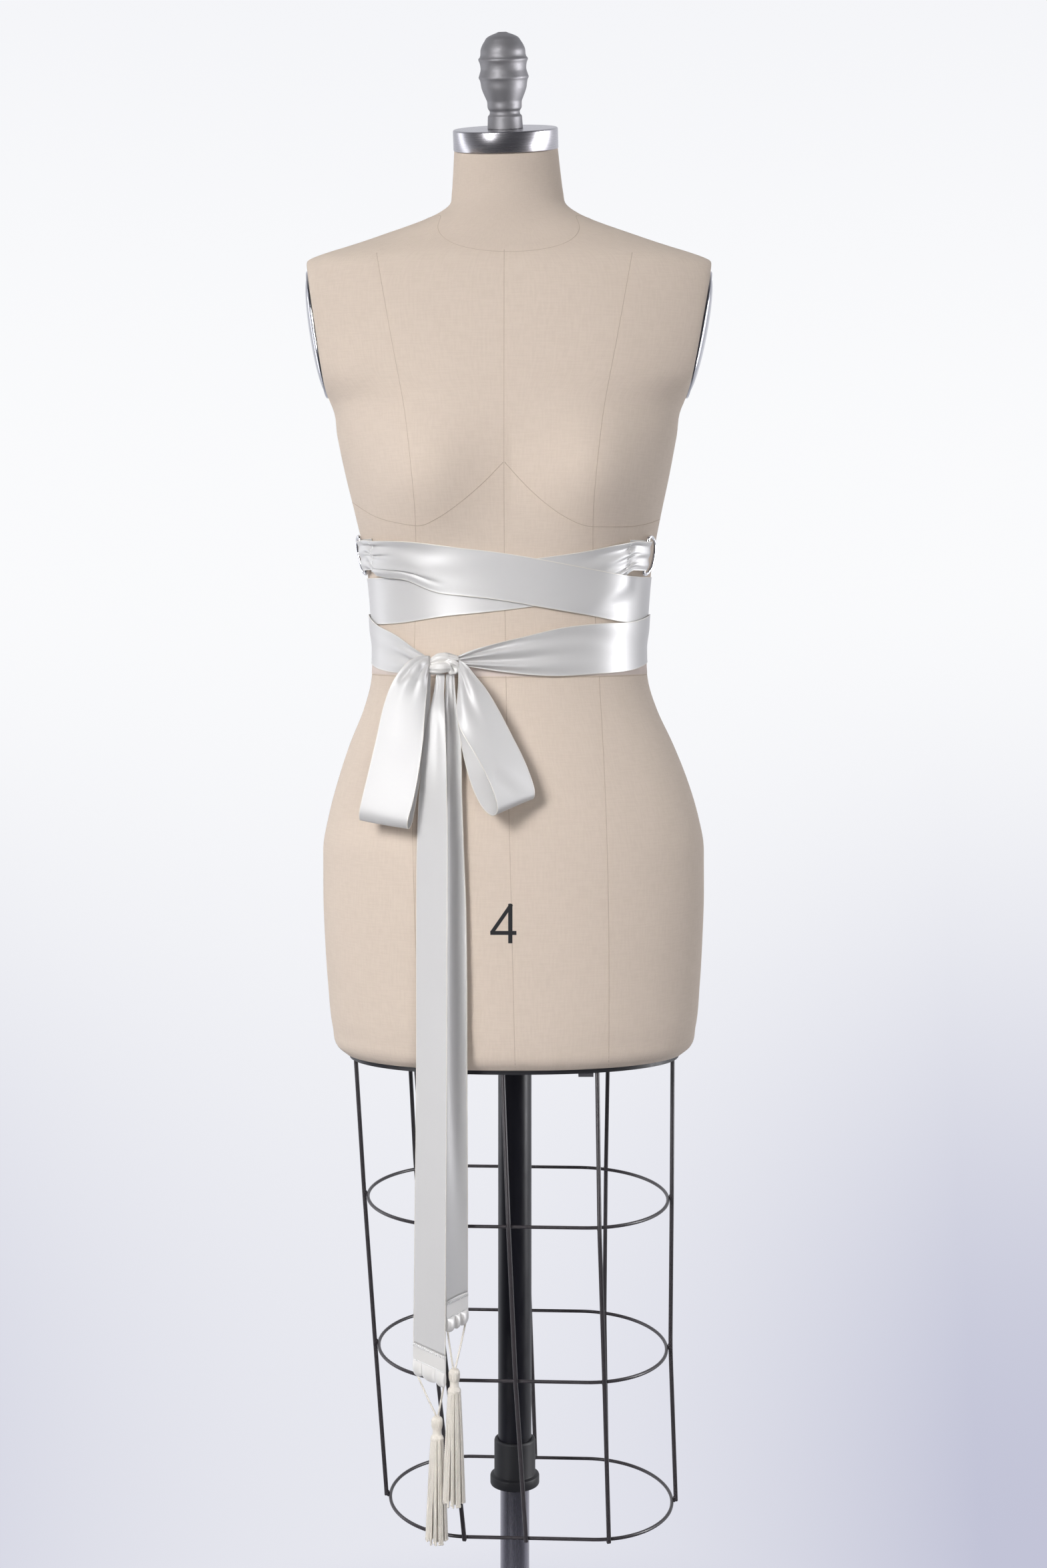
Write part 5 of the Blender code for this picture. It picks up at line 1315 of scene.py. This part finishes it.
def selvedge_group():
    """1 within Width of either edge of the ribbon, going by UV across it, and 0 inside."""
    t, into, out = group("selvedge", [("Vector", "Vector"), ("Width", "Float", 0.0009)], [("Mask", "Float")])
    across = t.add("SeparateXYZ", {0: into["Vector"]}).outputs["X"]
    edge = t.math("MINIMUM", across, t.math("SUBTRACT", RIBBON_WIDTH * MM, across))
    t.fill(out, {"Mask": t.ramp(t.math("DIVIDE", edge, into["Width"]), 0.7, 1.1, 1.0, 0.0)})
    return t.tree


def brushed_group():
    """Fine streaks: noise drawn out along the direction in which Stretch is least."""
    t, into, out = group("brushed", [("Vector", "Vector"), ("Stretch", "Vector", (1, 1, 1))],
                         [("Streaks", "Float")])
    vector = t.add("VectorMath", {0: into["Vector"], 1: into["Stretch"]}, operation="MULTIPLY").outputs[0]
    t.fill(out, {"Streaks": t.noise(vector, 1.0, 5.0, 0.7)})
    return t.tree


def material(name, slot, **constants):
    """A Principled material whose constants are set on the shader's own sockets."""
    made = bpy.data.materials.new(name)
    made.use_nodes = True
    shader = made.node_tree.nodes["Principled BSDF"]
    for key, value in constants.items():
        shader.inputs[key.replace("_", " ")].default_value = value
    FINISH[name] = (made, slot)
    tree = Tree(made.node_tree)
    where = tree.add("TexCoord").outputs
    return tree, shader, where["Object"], where["UV"]


FINISH = {}                   # the material and the slot of each finish


def satin_finish(name, ivory, selvedge):
    """Ivory double-face satin: soft gloss drawn out across the ribbon, fine ribs, and, where the piece has
    the ribbon's own edges, a creamier selvedge."""
    tree, shader, where, uv = material(name, "satin", Anisotropic=0.5, Sheen_Weight=0.1, Sheen_Roughness=0.35,
                                       Specular_IOR_Level=1.0, IOR=1.55)
    colour = tree.use(MOTTLE, Vector=where, Color=ivory, Scale=14.0, Amount=0.05)["Color"]
    if selvedge:
        edge = tree.use(SELVEDGE, Vector=uv, Width=0.0008)
        colour = tree.mix(edge["Mask"], colour, (0.72, 0.685, 0.625))
    streak = tree.use(BRUSHED, Vector=uv, Stretch=(2600, 40, 1))["Streaks"]
    weft = tree.math("SINE", tree.math("MULTIPLY", tree.add("SeparateXYZ", {0: uv}).outputs["Y"], 9000.0))
    height = tree.math("MULTIPLY_ADD", streak, 1.6, tree.math("MULTIPLY", weft, 0.12))
    tree.bump(shader, height, 0.00003, 0.6)
    tangent = tree.add("Tangent", direction_type="UV_MAP", uv_map="cloth").outputs[0]
    tree.fill(shader, {"Base Color": colour, "Roughness": tree.ramp(streak, 0.3, 0.7, 0.4, 0.52),
                       "Tangent": tangent})


def linen_finish():
    """Natural linen canvas: a plain weave with slubs, and slow changes of tone."""
    tree, shader, where, uv = material("linen", "linen", Roughness=0.92, Specular_IOR_Level=0.25,
                                       Sheen_Weight=0.08, Sheen_Roughness=0.6,
                                       Sheen_Tint=(1.0, 0.93, 0.85, 1))
    base = tree.use(MOTTLE, Vector=where, Color=(0.70, 0.59, 0.49, 1), Scale=9.0, Amount=0.08)
    weave = tree.use(WEAVE, Vector=uv, Threads=1150.0, Slub=0.9)
    thread = tree.ramp(weave["Slubs"], 0.75, 1.3, 0.0, 1.0)
    colour = tree.mix(tree.math("MULTIPLY", thread, 0.28), base["Color"], (0.55, 0.445, 0.355))
    grain = tree.ramp(weave["Height"], -0.6, 1.6, 0.0, 0.16)
    tree.fill(shader, {"Base Color": tree.mix(grain, colour, (0.78, 0.67, 0.56))})
    tree.bump(shader, weave["Height"], 0.0001, 0.5)


def plain_cloth_finishes():
    """The seam thread of the form, its waist tape and the black ink of its numeral."""
    for name, slot, colour, rough, amount in (
            ("seam", "linen", (0.54, 0.435, 0.34, 1), 0.95, 0.25),
            ("tape", "linen", (0.70, 0.60, 0.54, 1), 0.9, 0.12),
            ("ink", "black_metal", (0.02, 0.02, 0.022, 1), 0.6, 0.3)):
        tree, shader, where, uv = material(name, slot, Roughness=rough, Specular_IOR_Level=0.2)
        tone = tree.use(MOTTLE, Vector=where, Color=colour, Scale=120.0, Amount=amount)
        weave = tree.use(WEAVE, Vector=uv, Threads=1300.0, Slub=0.6)
        tree.fill(shader, {"Base Color": tone["Color"]})
        tree.bump(shader, weave["Height"], 0.00008, 0.5)


def thread_finishes():
    """Rayon of the tassels and cords, and the white sewing thread: glossy filament with fine strands, and
    painted shade in the grooves between them.
    """
    for name, slot, colour, rough, sheen in (
            ("rayon", "rayon", (0.80, 0.745, 0.66, 1), 0.42, 0.3),
            ("thread", "satin", (0.88, 0.875, 0.87, 1), 0.5, 0.2)):
        tree, shader, where, uv = material(name, slot, Roughness=rough, Sheen_Weight=sheen, Anisotropic=0.3)
        strand = tree.use(BRUSHED, Vector=uv, Stretch=(5200, 900, 1))["Streaks"]
        tone = tree.use(MOTTLE, Vector=where, Color=colour, Scale=160.0, Amount=0.22)
        # Painted shade: the colour darkens where the strand bump is low, in the grooves between the strands
        deep = tree.ramp(strand, 0.32, 0.62, 0.35, 0.0)
        dark = tuple(c * 0.62 for c in colour[:3])
        tree.fill(shader, {"Base Color": tree.mix(deep, tone["Color"], dark)})
        tree.bump(shader, strand, 0.00012, 0.6)


def metal_finishes():
    """Brushed cap and catch, polished plates and loops, cast finial, steel pole, and the black lacquers."""
    table = (   # name, slot, colour, metallic, roughness, rough spread, streak stretch, bump in metres
        ("brushed_steel", "brushed_steel", (0.42, 0.41, 0.43), 1.0, 0.27, 0.1, (12, 3200, 1), 0.000012),
        ("pole_steel", "brushed_steel", (0.27, 0.265, 0.30), 1.0, 0.26, 0.08, (700, 700, 9), 0.000008),
        ("chrome", "chrome", (0.72, 0.72, 0.74), 1.0, 0.08, 0.05, (60, 60, 60), 0.000004),
        ("plate_chrome", "chrome", (0.46, 0.46, 0.49), 1.0, 0.12, 0.06, (60, 60, 60), 0.000006),
        ("grey_casting", "grey_casting", (0.24, 0.235, 0.245), 0.5, 0.52, 0.12, (700, 700, 1), 0.00009),
        ("black_metal", "black_metal", (0.02, 0.02, 0.024), 0.0, 0.45, 0.12, (300, 300, 300), 0.00003),
        ("cage_lacquer", "black_metal", (0.042, 0.037, 0.041), 0.0, 0.34, 0.1, (240, 240, 240), 0.00004),
        ("tube_lacquer", "black_metal", (0.008, 0.008, 0.013), 0.0, 0.38, 0.1, (200, 200, 40), 0.00002),
        ("collar_plastic", "black_metal", (0.014, 0.014, 0.017), 0.0, 0.55, 0.1, (900, 900, 900), 0.00005))
    for name, slot, colour, metallic, rough, spread, stretch, depth in table:
        tree, shader, where, uv = material(name, slot, Metallic=metallic, Roughness=rough,
                                           Specular_IOR_Level=0.5 if metallic else 0.32)
        along_uv = stretch[2] == 1
        streak = tree.use(BRUSHED, Vector=uv if along_uv else where, Stretch=stretch)["Streaks"]
        tone = tree.use(MOTTLE, Vector=where, Color=(*colour, 1), Scale=30.0, Amount=0.15)
        level = tree.ramp(streak, 0.3, 0.7, rough - spread / 2, rough + spread / 2)
        tree.fill(shader, {"Base Color": tone["Color"], "Roughness": level})
        tree.bump(shader, streak, depth)


CAMERA_PLACE = (0.0078, -1.957, 1.103)
CAMERA_SHIFT = -0.117
CAMERA_LENS = 50
CAMERA_SENSOR = 36
# Place, point it faces, width, height, spread in degrees, watts, colour, and the surfaces it lights
LIGHTS = {
    "key": ((-1.6, -2.75, 2.3), (0, 0, 0.54), 1.1, 1.2, 70, 15.8, (0.99, 0.99, 1.0), "all"),
    "sheen": ((-1.92, -2.72, 0.9), (0, 0, 1.0), 0.75, 1.3, 180, 62, (0.99, 0.99, 1.0), "glossy"),
    "fill": ((0.7, -3.0, 1.05), (0, 0, 1.0), 1.6, 1.2, 180, 25.5, (0.975, 0.98, 1.0), "matt"),
    "rim_right": ((1.73, -0.2, 1.1), (0, 0, 1.05), 0.26, 1.7, 180, 56, (0.97, 0.97, 1.0), "glossy"),
    "side_right": ((1.75, 0.5, 1.1), (0, 0, 1.05), 0.4, 1.7, 180, 6, (0.97, 0.97, 1.0), "all"),
    "rim_left": ((-1.6, 0.7, 1.0), (0, 0, 0.95), 0.5, 1.8, 180, 7.5, (0.93, 0.95, 1.0), "all"),
}
FLOOR_COLOUR = (0.72, 0.73, 0.82)
FLOOR_FADE = (0.28, 0.62)     # metres from the middle of the base
FLOOR_Z = -0.0005
FLOOR_GRID = (24, 96)         # rings, and points round each


def build_camera():
    """The camera at the photograph's angle, level, with its frame moved down by the shift."""
    lens = bpy.data.cameras.new("camera")
    lens.lens = CAMERA_LENS
    lens.sensor_width = CAMERA_SENSOR
    lens.shift_y = CAMERA_SHIFT
    camera = bpy.data.objects.new("camera", lens)
    camera.location = CAMERA_PLACE
    camera.rotation_euler = (math.pi / 2, 0, 0)
    bpy.context.scene.collection.objects.link(camera)
    bpy.context.scene.camera = camera


def build_lights():
    """Soft boxes. In front: a key and the satin's sheen from the left, and a fill from the right. At the
    sides: strips that light the form's edges. Some light glossy surfaces alone, or matt ones alone."""
    for name, (place, target, width, height, spread, watts, colour, surfaces) in LIGHTS.items():
        data = bpy.data.lights.new(name, "AREA")
        data.shape = "RECTANGLE"
        data.size, data.size_y = width, height
        data.spread = math.radians(spread)
        data.energy = watts
        data.color = colour
        lamp = bpy.data.objects.new(name, data)
        lamp.location = place
        lamp.visible_diffuse = surfaces != "glossy"
        lamp.visible_glossy = surfaces != "matt"
        lamp.rotation_euler = (Vector(target) - Vector(place)).to_track_quat("-Z", "Y").to_euler()
        bpy.context.scene.collection.objects.link(lamp)


def build_world():
    """A pale studio: white behind the form and dim in front of it. The camera alone sees painted shade behind
    the form, a soft lavender
    falloff: it grows downwards, and faster away from the middle, with a little at the top."""
    world = bpy.data.worlds.new("studio")
    bpy.context.scene.world = world
    world.use_nodes = True
    tree = Tree(world.node_tree)
    back = world.node_tree.nodes["Background"]
    way = tree.add("SeparateXYZ", {0: tree.add("TexCoord").outputs["Generated"]})
    down = tree.ramp(way.outputs["Z"], 0.02, -0.40)
    up = tree.ramp(way.outputs["Z"], 0.05, 0.35, 0.0, 0.13)
    side = tree.math("DIVIDE", tree.math("ADD", way.outputs["X"], 0.06), 0.25)
    aside = tree.math("MINIMUM", tree.math("MULTIPLY", side, side), 1.0)
    # Painted shade of the backdrop: how far it falls off towards lavender
    dark = tree.math("MULTIPLY_ADD", down, tree.math("MULTIPLY_ADD", aside, 0.6, 0.4), up)
    seen = tree.mix(dark, (0.955, 0.96, 0.975), (0.54, 0.55, 0.68))
    ahead = tree.ramp(way.outputs["Y"], -0.5, 0.75)
    lit = tree.mix(ahead, (0.085, 0.085, 0.095), (0.80, 0.81, 0.86))
    colour = tree.mix(tree.add("LightPath").outputs["Is Camera Ray"], lit, seen)
    tree.fill(back, {"Color": colour})


def build_floor():
    """A pale disc under the base that fades to nothing away from it."""
    rings, sides = FLOOR_GRID
    radius = np.linspace(0.001, 1, rings)[:, None] * FLOOR_FADE[1] * 1.05
    turn = full_turn(sides)
    points = np.stack([radius * np.cos(turn), radius * np.sin(turn), np.full(FLOOR_GRID, FLOOR_Z)], -1)
    r, c = np.meshgrid(np.arange(rings - 1), np.arange(sides), indexing="ij")
    after = (c + 1) % sides
    faces = np.stack([r * sides + c, (r + 1) * sides + c, (r + 1) * sides + after, r * sides + after], -1)
    mesh = bpy.data.meshes.new("floor")
    mesh.from_pydata(points.reshape(-1, 3).tolist(), [], faces.reshape(-1, 4).tolist())
    floor = bpy.data.objects.new("floor", mesh)
    bpy.context.scene.collection.objects.link(floor)
    tree, shader, where, _ = material("floor_paper", None, Base_Color=(*FLOOR_COLOUR, 1), Roughness=0.8)
    away = tree.add("VectorMath", {0: where}, operation="LENGTH").outputs["Value"]
    tree.fill(shader, {"Alpha": tree.ramp(away, *FLOOR_FADE, 1.0, 0.0)})
    mesh.materials.append(FINISH["floor_paper"][0])


WEAVE, MOTTLE, SELVEDGE, BRUSHED = weave_group(), mottle_group(), selvedge_group(), brushed_group()
build_camera()
satin_finish("satin", (0.60, 0.588, 0.578, 1), selvedge=True)
# A lighter, warmer copy of the satin for the knot and the hems: painted light that makes up for the shade in
# their deep folds, with a painted warm bounce
satin_finish("satin_painted_lighter", (0.73, 0.71, 0.68, 1), selvedge=False)
linen_finish()
plain_cloth_finishes()
thread_finishes()
metal_finishes()
build_form()
build_neck()
build_arm_plates()
build_cage()
build_stand()
build_sash()
build_bow()
build_lights()
build_world()
build_floor()
bpy.context.scene.view_settings.view_transform = "Standard"
